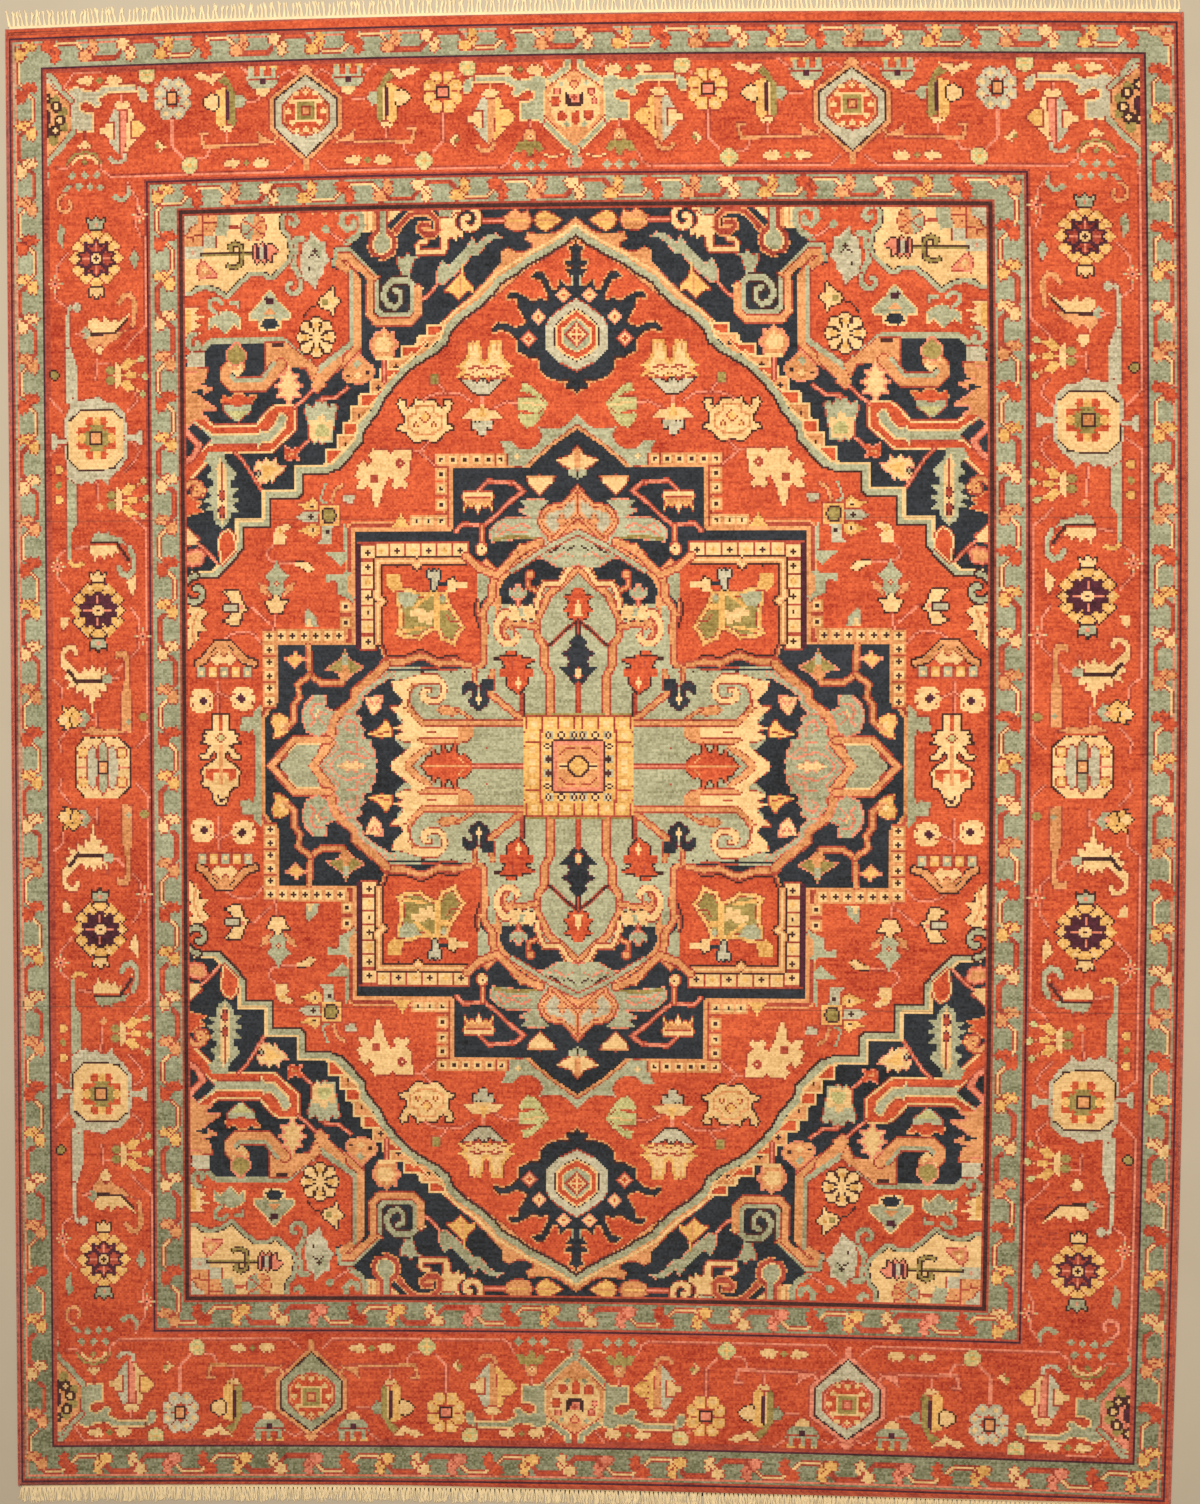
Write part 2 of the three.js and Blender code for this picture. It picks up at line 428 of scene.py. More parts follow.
# %% Heart of the medallion
CHAIN_CELL = """
block gold 3 ivory 2 | 0,0
gem brown 2.2 ivory 1.2 | 0,0
"""
SKY_CELL = """
block gold 3 sky 2 | 0,0
gem brown 2 ivory 0.8 | 0,0
"""
SUN_CELL = """
block rust 4 gold 3.4 ivory 1.6 | 0,0
"""
work("""
area rust 0.5 gold 0 | 27,24 27,-27 -27,-27 -27,24
area olive 0 | -1,26.6 13,26.6 13,24 -1,24 / 17,26.6 26,26.6 26,24 17,24
""")
cells("-6,21 26,21", 8, SUN_CELL)
cells("22.6,18 22.6,-8", 7, SUN_CELL)
cells("-1,15.4 18,15.4", 6.3, SKY_CELL, CHAIN_CELL)
cells("15.4,13 15.4,-6", 6.3, CHAIN_CELL, SKY_CELL)
work("""
area brown 0.8 rose 0 apricot -2.2 | 12.3,12.3 12.3,-12.3 -12.3,-12.3 -12.3,12.3
disc brown 5.4 gold 4.2 | 0,0
area ivory 0 | 5.6,1.6 9,1.6 9,-1.6 5.6,-1.6
rope brown 0.5 | 6,0 9,0
rope rust 0.5 | 2,9 6,9 9,6
""")

# %% Upper half of the medallion
RINGED = """
area rust 0.6 apricot -0.4 rust -1.6 apricot -2.2 sky -3.4 | -2,141 4,134 8,130 15,129 18,126 20,121 \
18,117 15,114 14,110 9,114 4,119 -2,124
area rust 0.5 apricot 0 | 8,125 10,121 8,118 6,121
area sky 0 | 2,129 5,130 7,127 4,125 3,127
"""
WING = """
area rose 0.7 sage 0 | 15,131 20,132 28,131 25,128 29,126.5 25,124.5 23,122.6 29,123 36,122.6 41,120 \
44,116 43,111.6 36,112 30,113.4 24,113.6 18,111 16,109 22,104 17,103 10,99 4,99 -2,101 -2,118 10,113 \
15,112 19,117 21,121 19,127
rope rose 0.5 | 24,118 28,120 33,118 38,120 41,116 / 26,116 31,116 36,117 40,114
rope brown 0.4 | 2,109 5,107 9,109 13,106 16,107
rope rose 0.4 | 3,104 7,106 11,103 15,104
rope brown 0.4 | 2,114 6,111 10,111
rope olive 0.9 | 17,112 30,114 42,112.4
"""
BAT_PALMETTE = """
half rust 0.6 gold 0 apricot -0.8 | 0,5 2,4 7,4.4 8,2 6.6,0 7.4,-5 5,-2 3.5,-4 2,-2 0,-6
half ivory 0 | 0,5 3,3.6 7,4 7,2 0,2.4 / 0,-1 1.6,-2.4 0,-5.5
rope rust 0.5 | -6,1.6 6,1.6
"""
work(WING)
work(RINGED)
work("""
rope rust 1.8 sage 1 | 0,116 14,109 22,104 33,97
rope rust 2.4 apricot 1.5 | 19,111 24,109 31,105 36,99 41,95 49,98 56,104
area rust 0.4 apricot 0 | 24,109 29,110 31,107 28,105
rope rust 1.2 rose 0.7 | 32,140 45,141 51,135 / 32,140 27,136 35,130 41,124 47,119.4 58,120 61,116.6
rope rust 1.5 apricot 0.8 | 48,119 48,112
disc rust 3.4 ivory 2.6 | 48.4,107.6
area ivory 0 | 46.6,106 48.4,103.6 50,106
disc brown 0.8 | 48,108
area rust 0.7 ivory 0 | 11.5,143.4 16,142 19,143.5 22,142 25.4,143.4 24,140 19,134.6 13,140
rope apricot 0.5 | 12,143.4 25,143.4
area rust 0.7 ivory 0 | -1,159 2,155 3,153.4 10,151 5,147.4 3,147 -1,146
area apricot 0 | -1,159 2,155 1,147 -1,146
area sage 0 | 1,147 4,146 4,144 0,142
""")
work(BAT_PALMETTE, "50,131.4")

# %% Right arm of the medallion
LEAF_STAR = """
area rose 0.7 olive 0 | 118,57.4 119.6,54 122,52 127.6,48.4 121.6,47.4 118,43 114,46.4 109,49.2 114,52 \
116.4,54
area apricot 0 | 117,50 119,50 121,45 117.6,43 115,46
area sage 0 | 117,55 119,55 119,51 117,51
"""
MOTTLED_PALMETTE = """
area rose 0.7 sage 0 | 102.6,3 103.4,8 106,10 105,13 109.6,13.6 108.6,18 111,20 110.6,24 114,26 118.6,25.4 \
119,22 122.4,20 121,16 123.4,14 121.6,9 126,4 131,-2 103,-2
rope rose 0.5 | 112,15 112,21 116,23 118,19 115,17 / 106,6 109,9 112,8 112,12 117,12 / 103,5 108,4 112,6 \
118,7 123,4 128,-2
area rose 0.4 ivory 0 | 108,-1 109,1.4 111,0.8 112.4,3.4 114,1.4 116,1.4 117.4,3 119,1 122,0 122,-1
"""
SIDE_PALMETTE = """
area rose 0.9 sage 0 | 128.6,35 134,35 138.4,30.4 140,25 138,18 132,15 128,17.6 126.6,22 124,27 129,29.4
rope rose 0.6 | 130,31 134,31 136,27 134,23 136,20 / 128,26 131,27 132,24 129,21
rope ivory 0.6 | 132,28 133,25
"""
work(f"""
rope rust 2.8 apricot 1.9 | 97,51 102,46 108,41 112.4,37 113.4,31.6 118,28.4 123,25 125.4,19 125.4,12 \
131,5 137,-2
rope rose 1.6 sage 1 | 94,46 101,42 106,38.6 110,35.6 111,31 113,28.4 117,26.4
rope rust 1.8 apricot 1 | 119,44 119.6,41.4 130,41.4 133.6,43.6 136,45.6 137,60 / 136,45.6 142.4,41 \
141.6,34 144.4,31 144.6,22 148,19
area rose 0.7 gold 0 | 143.6,57 145,54.6 149,53.6 146,52 144,49.6 142,52 138.4,53.4 142,54.6
area rust 0.7 gold 0 | 148,24 152,26 155,25.4 156,22 154,18 155,14 152,14.4 148,17 146.6,20
area apricot 0 | 147,21 150,21 151,18 148,18
area ivory 0 | 149,20.6 151,22 152,20 150.6,18.4
area rose 0.8 ivory 0 | 99,34.4 107.4,34 106,30 104,26 100.6,29.4
rope rose 0.5 | 100,34 103,30 106,34
area rust 0.6 gold 0 | 97.4,23 101,18.4 106,16 100,14.4 94.6,15 94.6,19
rope rust 0.5 | 96,17 101,16
rope rust 2.2 apricot 1.4 | 126,13 144.6,13 148,9 152,5 158,-2
area rust 0.5 sage 0 | 131,10.6 143,10.6 147,6 151,1 152,-2 139,-2 133,6
rope ivory 0.6 | 131,11 143,11 147,7
""")
work(LEAF_STAR)
work(MOTTLED_PALMETTE)
work(SIDE_PALMETTE)
print("medallion done")

# %% [markdown]
# ## The edge of the red field
# A sage line with a dark edge steps round the field. Outside it runs an apricot
# band, then a flight of little blocks, madder and apricot in turn.

# %% Stepped edge
DICE_SPOTS = """71,213 75.5,207.5 84,203 91,197 95,191.5 100,187 105.5,180 110,173.6 114,166 117,159.6
    122.6,153"""
for number, spot in enumerate(DICE_SPOTS.split()):
    dye = "apricot" if number % 2 else "madder"
    work(f"""
area ivory 1.1 {dye} 0 | -5,4 3.4,3.6 3.4,-2 5,-4 4,-6 -8,6
""", spot)
    if dye == "apricot":
        work("gem brown 1 | 0,0", spot)
work("""
area rust 0.6 apricot 0 | 0,268 5,264 10,260.6 18,260 24,261 25,258 21,256 22,253.4 27,251.4 31,252 \
34,253.6 37,252 37,247 41,243 46,237 50,233.6 52,231 60,225 67,219 68,212 60,216 43,229 24,244 0,258
rope ivory 0.6 | 0,264.6 7,260 17,254.6 25,250.4 41,240.8 51,230.4 60,224.6 66,219 68.6,210.4
""")
lay("rope", [("brown", 1.6)], moved(FIELD_EDGE, -0.9))
lay("rope", [("sage", 1.5)], FIELD_EDGE)
lay("rope", [("ivory", 0.6)], moved(FIELD_EDGE[16:], 1.6))
work("""
curl brown 2.3 | 195,87 8,1.6 90,-280
curl sage 1.3 | 195,87 8,1.6 90,-280
""")
print("edge blocks", len(DICE_SPOTS.split()))

# %% [markdown]
# ## Pendants and fillers
# A navy pendant with thorny arms stands above and below the medallion. The rest
# of the red ground is filled with single flowers, buds, leaves and small
# beasts, each placed once in the quarter.

# %% Pendant
work("""
half apricot 1.3 brown 0.6 navy 0 | 0,256.5 1.5,254 3.5,254.5 2,252 1.5,249 3,247 5.5,247.4 4.5,245.6 \
1.5,245 2,243 4.5,243 3,240.6 1.5,240 1.5,236 4,234.5 8,237.5 9,233.5 12.5,233 14.5,238 17,241.4 20,242 \
22,240 19.5,239.4 17,238.6 15.6,235 14,232 13.4,229 15,227.6 18,229 22,227.6 26,230 30,232 33,232 \
34.4,229.6 32,230.4 29.4,229.6 28.4,225 26,221 24.4,218.4 27,216 31,215 35,217 39,217.4 41.4,215.6 \
41.6,213.6 38,215.4 34,213.8 30,211 29,209 29,204 26,203 24,201.4 18.6,201 18,196 15,192 12,191 8,190 \
3,190.5 3,189 5.4,187.6 4.6,186.4 1.4,186 0,184
half rust 0.7 sky 0 brown -3.6 ivory -4.2 madder -5.2 ivory -7.6 sage -8.4 | 0,229 6,225.6 13,220 15,216 \
15,205 9,199 0,194.6
gem rust 6 ivory 4.4 madder 3.4 | 0,212
rope ivory 0.6 | 0,217 0,207 / -2.6,212 2.6,212
gem rust 4.2 rose 3.6 ivory 2.6 madder 1.4 | 6.6,231 19,220.4 24.2,210
rope sage 0.6 | 2,236 2,240
""")

# %% Leaf, flowers and the ornate panel
CELADON_LEAF = """
rope rust 1.9 lime 1.5 | 26,187.4 24,186 19,182 16.4,178.6 18.6,174 21.4,170 25,168.6 28,172.6
area rust 0.5 lime 0 | 14.6,178 20,182 25,181.6 29.6,182 29.6,176 24,175 20,173.6
area lime 0 | 22,186 26,188.6 28,185 25,183.6 / 21,173 28,174 28.4,170 25,166.8 22,168
rope ivory 0.5 | 17,178.4 27,178.6
"""
CUP_FLOWER = """
area rust 0.6 ivory 0 | -10,-2 -8,0 -5.4,2 -2,2 0,5 2,2 6,2.4 10,-2 5,-3 1,-4 -4,-3
area gold 0 | -1.4,1 0,5 1.4,1 1.6,-1 -1.6,-1
area brown 0.7 sky 0 | -5,-4 -4.4,-8 -2,-6.6 -1.6,-10 0,-10.8 1.8,-10 3,-6.8 5,-8 5.4,-4
rope rose 0.5 | 0,5 0,9
"""
SKY_CROWN = """
half brown 0.8 sky 0 | 0,183.4 3,183.6 6,186 11,190.8 6,190.2 2.4,188.6 1,191.4 0,189
"""
GOLD_CROWN = """
half rust 0.6 gold 0 ivory -1.6 | 0,192 4,191.4 8,191 14,192 11,195 14,197 11,199 9,202 8.6,209 3,209 \
1.6,205 1,200 0,199
rope rust 0.5 | -8,196 -4,197 0,195 4,197 8,196 / -12,192 -8,193.4 / 12,192 8,193.4
half rust 0.5 ivory 0 | 0,196.4 3,195 8,192.6 4,191.6 0,193.6
rope apricot 0.8 | -6,205 -6,208 / 6,205 6,208
"""
ORNATE_PANEL = """
half brown 1 ivory 0 | 0,161.6 3,160.6 6,161 8,163 10,165.6 14.4,166.4 13,168.4 10.6,169 10.4,173 12.4,176 \
13.6,179 12.6,181 9.6,180.4 10.6,178 8.6,176.6 6,178 4.6,181 0,180.6
rope apricot 0.6 | 0,178 4,178 4.6,174.6 8.4,172.6 8.4,167.6 5,164.6 0,164 / 0,178 -4,178 -4.6,174.6 \
-8.4,172.6 -8.4,167.6 -5,164.6 0,164
gem rust 3 gold 2.2 | 0,172.4
disc rust 1.5 gold 0.9 | -4.4,168.6 4.4,168.6
disc apricot 0.7 | -9.4,176 9.4,176
"""
PINCUSHION = "half rust 0.6 olive 0 | 0,193 1.6,193.4 2.4,190.6 1.8,188 0,188.4"
work(CELADON_LEAF)
work(CUP_FLOWER, "47.5,174")
work(SKY_CROWN, "47.3,0")
work(GOLD_CROWN, "46,0")
work(ORNATE_PANEL, "76.4,0")
work(PINCUSHION, "71.6,0")
work("""
rope rust 1 rose 0.5 | 30,178.6 35,179.6 41,177 / 53,180 58,183.4 63,184 73,183.4 77,181 / 66,184 68.6,188 \
/ 75,160 77.6,157.6 79,155 74,151 72,149
rope rose 0.5 | 77,156 82,155.6
""")

# %% Beast and its neighbours
work("""
area rust 0.7 ivory 0 | 83,156.4 92,156.6 94,154.4 96,156.8 103,157 105,154 103.4,151.4 106,148.6 \
107.6,152 111,149 110.6,146.6 112.6,144 109.6,142 112,137.6 107.6,137.6 106,140 104,138 103.4,132 \
101.6,128 99.6,131 98.6,136 97,139.6 95,143.6 92.4,142 93.6,138.6 91,137.6 89,138.6 86.4,137.4 85.6,140.4 \
88,142.4 84.6,144.4 84.4,149
disc rust 2.3 | 89.2,150 102.4,142.4
disc ivory 0.6 | 89.2,150
block rust 3 ivory 2 apricot 1 | 115.6,132.8
area rust 0.4 sky 0 | 112.6,134.4 118.6,134.6 118.8,131.2 113.4,130.8
rope rust 1.3 apricot 0.8 | 119,139.6 122.6,137 124.4,131.6
rope rust 0.8 sage 0.6 | 127.6,140 130.4,132 127,131
block rust 5.6 gold 5 apricot 3.8 | 125.6,124.4
area brown 1 olive 0 | 122.4,124.6 124,127.4 128,127 128.8,124.6 127.6,121.2 124.2,121.4
area rust 0.6 gold 0 ivory -1.6 | 131,131.4 134,133 137,131 142,130.6 138,127.6 131.4,127.2
area rust 0.6 sky 0 | 131,126 139,126.2 142.6,123.8 138.4,121.6 131.4,121.4
area rust 0.6 gold 0 ivory -1.6 | 131,119.4 135,120.6 138,118.6 141.6,117 137,115.4 134,113.6 131,115.4
area rust 0.6 sky 0 | 124,119 129.2,119.4 129,114 131.6,110.6 125,110.8
gem brown 1.4 | 134.6,129 134.8,124 134,117.4 126.6,116.4
rope rust 0.8 sage 0.9 | 118,120 117.4,112 117.4,105.6 121,104
area rust 0.4 sage 0 | 117,107 120,106.4 127.6,106 124,103.4 120,100 117,103
area rust 0.6 ivory 0 | 144.6,119.4 148,120.6 152.8,119 154.2,116.6 154.4,110.8 148.4,110.4 148,114 \
149.6,116 147,117.8
disc gold 1 | 151,117
rope rust 0.9 rose 0.5 | 154.6,110 157.8,107 157.4,103.4 154.6,101.6 143,101
area brown 0.5 ivory 0 | 134,98 136,100.6 139,101.8 143,101.8 143,100 140,98.8 137.6,97 135.6,97
""")

# %% Sage bird flower, palmette and bud
work("""
area rust 0.6 apricot 0 | 143.6,92 147,90 150,87 149,84.6 145,88 / 162.4,91.6 159,90 156,87 157,84.6 \
161,87
area rust 0.6 sage 0 | 153,102 155,98 158.6,95 156.4,91 157.4,88 155,85 151,85 148.8,88 150,91 147,95 \
151,98
gem rust 1.4 ivory 0.8 | 153,91
area brown 0.9 ivory 0 | 147,82.4 151,82 152.2,85 154.4,85 155.4,82.2 158.6,82 157,79 156,76.4 150.4,76.4 \
149.6,79.6
rope rust 0.9 rose 0.5 | 153.6,75.6 154.4,70 155,68 / 156.6,71 166.4,79.6
area brown 1 ivory 0 | 168.4,78 171,82 172,85.6 173.4,87.6 176,87 180.4,87 178,84.4 176.4,81.8 176.4,77.2 \
177.6,73.8 180.6,72.4 176,70.6 173,71 171.6,74 171,77
area brown 0.8 sky 0 | 173.4,81 179.6,80.8 180.8,79 179.4,77.2 173.6,77.4
disc rose 1.3 | 171.4,79.4
area brown 0.4 ivory 0 | 189,76.4 193,79.8 198,80 199.6,77 197,75.4 200.4,72 198,70 201.4,66 201.4,57 \
198.4,58.6 196.6,62 193.6,63.4 194.6,67 190,68 193,72
rope apricot 0.6 | 196,60 197,70 194,77
area rust 0.5 sage 0 | 132,70 133,74 137.6,78.8 138.8,74 138.2,70
area ivory 0 | 135,70 135.4,73 137.6,74 138,70
area rust 0.4 sage 0 | 117,97 119,95 127,95 127,92.6 122,92 121.6,86 117,84
rope rust 0.9 rose 0.5 | 161,61 165,66 168,67 176,66.4 180,63.4
""")

# %% Canopy and its rosettes
OCTOFOIL = """
disc rust 6.4 | 0,0
disc ivory 3 | 3.4,0 -3.4,0 0,3.4 0,-3.4 2.6,2.6 -2.6,2.6 2.6,-2.6 -2.6,-2.6
disc rust 0.7 | 4.6,2.2 -4.6,-2.2 4.6,-2.2 -4.6,2.2
gem plum 2.6 | 1,0
"""
FAN_CELL = """
block rust 3 sage 2.4 | 0,0
block ivory 0.7 | 0,0
"""
GOLD_FAN_CELL = """
block rust 3 gold 2.4 | 0,0
block ivory 0.7 | 0,0
"""
work("""
rope brown 2.6 apricot 1.5 | 165,51.4 170,53 173,56 178,61 184.4,61 188,57 191,53 194.4,51.2
area brown 0.6 apricot 0 | 175,57 179,60 184,60 187,56 184,53.6 181,56 178,54
area rust 0.6 ivory 0 | 173.6,53.4 178,57 180.6,54.4 183,57 188,53.4 185,50.6 180.6,52 177,50.6
rope rust 0.9 rose 0.5 | 183.6,42 183.6,26 / 175.6,33 183.6,37 188.6,33
""")
cells("165.6,46.6 195.6,46.6", 6, FAN_CELL, GOLD_FAN_CELL)
work(OCTOFOIL, "170.8,33.6")
work(OCTOFOIL, "192.4,32.6", flip=-1)
print("fillers done")

# %% [markdown]
# ## Corner pieces
# Navy spandrels fill the corners of the field outside the stepped edge, and in
# each lies a red corner piece framed by an apricot and sage band. The band coils
# into a square spiral on one side and runs round a second navy pocket on the
# other. An ivory ground fills the very corner.

# %% Spandrel, upper part
GOLD_BUD = """
area rust 0.7 gold 0 | -6.6,0.6 -3,3 1.6,5 4.6,3.6 6.6,0.6 4,-3 1,-4.6 -3,-2
rope apricot 0.5 | -4,0.6 5,0.6
"""
APRICOT_BUD = """
area rust 0.7 apricot 0 | -7,-0.6 -5,4.4 -2,3 1,5.4 4,3.4 7,1.4 6,-2.6 3,-4.2 -1,-4.6 -4.4,-4
rope gold 0.6 | -4,0 5,0
"""
SAGE_LEAF = """
area rose 0.5 sage 0 | 37,258.6 40,260.6 44,260 48,257 50,255.6 52,258.6 55,254 60,249 64,245.4 67,248 \
69.8,243 69.6,238 67,236.6 63,240 58,244 55,247.4 53,250.4 49,251 45,256 41,258.6
"""
THREE_GOLD = """
area rust 0.7 gold 0 | -1,11 0,6 3,3.6 4,2 8,-1.6 5,-2 2.6,-3.4 1,-5.4 -1,-3.4 -4,-1 -6.4,-2.4 -6,0.6 \
-3,3.6 -1.4,6
rope apricot 0.7 | 0,4 0,-3
"""
SAGE_TULIP = """
area rust 0.5 sage 0 | 79.4,250 81.4,249.4 82.4,246 83.4,243 84,240 87,240 88,244 89.8,247 89.6,250.4 \
87.6,249.4 86,250.2 84.4,252 83,250 81.6,250.4
"""
STAR_BUD = """
area rose 0.8 apricot 0 ivory -1.6 | 0,8 -2,5 -5,5.4 -4.4,2.4 -7,0 -4.4,-2.4 -4.6,-5.4 4,-5.4 6.6,-2 6.4,2 \
4,5.4 2,5
area rust 0.4 ivory 0 | -5,-5.6 5,-5.6 4,-7.6 -4,-7.6
"""
SPOTTED_BUD = """
area rose 0.6 apricot 0 | 0,9 -3,5.6 -7,3 -8.4,0 -6,-3 -2,-5.4 6,-4.6 8,-2 7,2 3,5.6
gem brown 1.2 | -4.4,0 5.6,-1.4
disc sage 1.7 | 0.6,4
gem ivory 1.8 | 0.4,-1.6
"""
work(GOLD_BUD, "14,266.4")
work(APRICOT_BUD, "29,267")
work(SAGE_LEAF)
work(THREE_GOLD, "58,235")
work("""
rope rust 1 rose 0.5 | 36,267 46,267 / 69.6,237 75,231 79,229 / 97,200 97,190 / 110,204 110,210
curl rust 1.9 ivory 1.4 | 53.8,267.4 8,1.4 0,440
area rust 0.6 ivory 0 | 59,272 62,268 69,268 69,262 67.6,258 67.6,253.6 78.4,253.6 78.4,256 74.6,256.6 \
74.6,258.2 78,258.4 80.6,256 80,251.4 66,251.4 64.6,254 64.6,258 62.6,260 60,258 59.4,260.6 56.6,259.4 \
57,262 60,264 60.6,267
area rust 0.4 sage 0 | 61,273.6 69,273.6 68,269.4 63,269
rope apricot 2 rust 1.1 | 92,261 88,266 84,270 79,272 74,271.6 70,268 69,263 71,261 76,261 78.6,263.4 \
77.4,266 74,265.4
area rust 0.5 ivory 0 | 85.4,275 92,269 97.6,264 101,264 107,262 107,275
area rust 0.4 sky 0 | 92,275 96,270 98.6,272 99,275
rope apricot 0.8 | 102,274 102,264 / 105,274 105,264
area apricot 0.7 rust 0 ivory -2.2 sage -3 | 91.6,262 90,257 91.6,252 97,249 102.4,250.4 104.6,255 104,260 \
100.6,264 101,272 94.6,272 95,264
area sage 0 | 96,275 96,262 98.6,262 99,275
""")
work(SAGE_TULIP)
work(STAR_BUD, "97,208")
work(SPOTTED_BUD, "110,194.6")

# %% Square spiral and the corner's frame
work("""
rope brown 2.1 sage 1.4 | 91.6,234.4 88.6,233 88.6,228.4 91,226 95,227.4 97,231 96,236 92,239 85,239 \
81.6,236.6 82,224 85,221.8 98,222 100.4,225 100.4,241 107,246.4
area rust 0.6 apricot 0 | 99.4,241.4 108,249.6 115,255.6 121,255.6 122,247 113,242 110,239.6 108.6,243 \
106.6,241 103,237
area madder 0 | 112,203 130,190 134,196 150,211 186,211 194,205 203,205 203,275 110,275 109,262 114,256.6 \
122,256 124,246 113,242
rope rust 2.3 apricot 1.6 | 79.6,235 79.6,223 83.6,219 101,219.2 104.4,223 103.6,240 110,246 115,251 \
119.4,251 120,247.6 114,243.4 110.4,240 110.4,207 118,199.6 130.6,191
area rust 0.6 apricot 0 | 118,199 128,190 127.4,188.4 131.6,185.2 135.8,189.4 134.8,191 141,198 148,204 \
158,205 158,209 147,211 140,205 131,197.6 120,206
rope sage 1.4 | 113.4,243 113.4,208.6 131,196 148.6,210.6 186,210.8 194,204.6
rope rust 0.4 | 115.2,243 115.2,209.6 131,198.4 147.8,212.4 186.6,212.6
rope sage 1 | 101,243 114,254.4 121,254.6 122.4,247
rope ivory 0.4 | 79,236 77,235 79,234
area navy 0 | 106.6,241 109,243.6 110.6,243.6 108.8,240 108.8,206 105.6,206 105.8,221 107,223
rope sage 1.5 | 116,257.6 110,261 107.4,266 108.4,271.4 113,273.6 117.6,271.4 118.6,267 116,264.2 \
112.4,264.8 112,267.6
area navy 0 | 99,250 103,250.6 105.4,255 104.4,260 101.6,262.6 108,262 112.6,257 112.6,254.6 108,249.6 \
100,242
rope rust 1 rose 0.5 | 116.6,258 122,261 125,263.6
disc sage 2 | 126.4,264.4
area apricot 0 | 119,275 121,271.6 124,273.6 127,270.8 130,273.6 133,271.4 137,275
""")

# %% Second navy pocket
work("""
area navy 0 | 150,209 186,209 190.4,204 187,200 186,184 136,184 133,192 140,198
area rust 0.6 apricot 0 | 131,197 134,191 137,197.4 146,198 152,192 157.6,197 158,209.6 147.6,209.6
rope rust 3.2 apricot 2.6 | 150,199 159,188.8 175,188.8 178.6,192.4 178.4,196.4 175.4,199.4 171.4,198.8
rope ivory 0.9 | 176.6,199.6 172,199.4 170.4,196.6 172.4,194.6 174.6,196
rope sage 1 | 153.4,200 160,191.6 173.6,191.6 175.6,193.6
rope rust 0.5 | 155,200.4 160.4,193.2 173,193.2
area rose 1 olive 0 | 173,209.6 171,207.6 168.6,205 169,201.6 171.6,200 175,200 177.6,202 177.6,205.6 \
175,207.6
rope brown 0.6 | 149,208.4 154,208.4
""")

# %% Fillers of the red corner
GOLD_STAR = """
area brown 0.8 ivory 0 | 119,229.6 122.4,232 122.6,236.4 126,233 129,231.4 131,228.4 128,226.2 125,225.6 \
123,222.6 122.2,226.8
disc olive 1.8 | 127,229
disc gold 0.8 | 123.4,229.6
rope brown 0.5 | 130,228 135,226.4 138,222.4
gem brown 1.8 | 138.2,219
"""
EIGHT_PETALS = """
disc brown 3.9 ivory 3.1 | 6.6,0 4.7,4.7 0,6.6 -4.7,4.7 -6.6,0 -4.7,-4.7 0,-6.6 4.7,-4.7
disc ivory 5 | 0,0
rope brown 0.5 | 8.2,3.4 -8.2,-3.4 / 3.4,8.2 -3.4,-8.2 / -8.2,3.4 8.2,-3.4 / -3.4,8.2 3.4,-8.2
gem gold 1.6 | 6,0 0,6 -6,0 0,-6
disc ivory 2.6 | 0,0
"""
NAVY_FAN = """
half ivory 0.6 sage 0 | 0,235 2,233.4 4,229.6 7,227.4 10,224 10,221.4 6.4,221.6 5,219 4,216.4 0,215.6
half ivory 0.8 navy 0 | 0,222 3,221 5.4,217.4 2.6,217 1.4,216 0,217
half plum 0 | 0,231 1.4,232 2.6,231.6 2,229 0,227.8
half apricot 0 | 0,226.6 3,224 0,223
"""
SAGE_FLOWER = """
area ivory 0.5 sage 0 | 171,222 174,224.4 178,225.8 183,224 187,221.8 187,217 184,219.4 181,217 179,214.8 \
176.4,216.6 174,219.4 171.4,217
rope rust 1.3 sage 0.9 | 183,224.4 186.6,227.4 186.4,230.6 183,232 180.6,229.6
rope rust 1 sage 0.9 | 172,227 172,230 175.6,229.4
"""
SKY_LEAF = """
area rust 0.5 sky 0 | 134,263 135,259 138,257.6 139.4,250 138.8,241 136,239.4 133.6,237.4 131.4,234.6 \
130.6,240 128,243 127.4,246.6 124,249.6 126.6,253 126.4,258.6 129,258 131,260
area sage 0 | 134,261 134.6,257 131,252 129,250 127.6,256
gem brown 1.4 | 132,254 135,245.4
rope brown 0.5 | 130,250.6 132,253 135,251
"""
work(GOLD_STAR)
work(EIGHT_PETALS, "131.6,212")
work(NAVY_FAN, "155.6,0")
work(SAGE_FLOWER)
work(SKY_LEAF)
work("""
rope rust 1.9 sage 1.4 | 138,260 142,259.6 142,254 143.6,248 141,243.6 139.6,239.6
curl rust 1.8 sage 1.2 | 144,237 5,1.6 150,430
rope rust 1.9 sage 1.4 | 146,274 150,270 149.4,264.6 146.4,260
rope rust 1.6 sage 1.1 | 147,273 143,272 140.6,268.6 142.4,266.4 144.6,268
""")

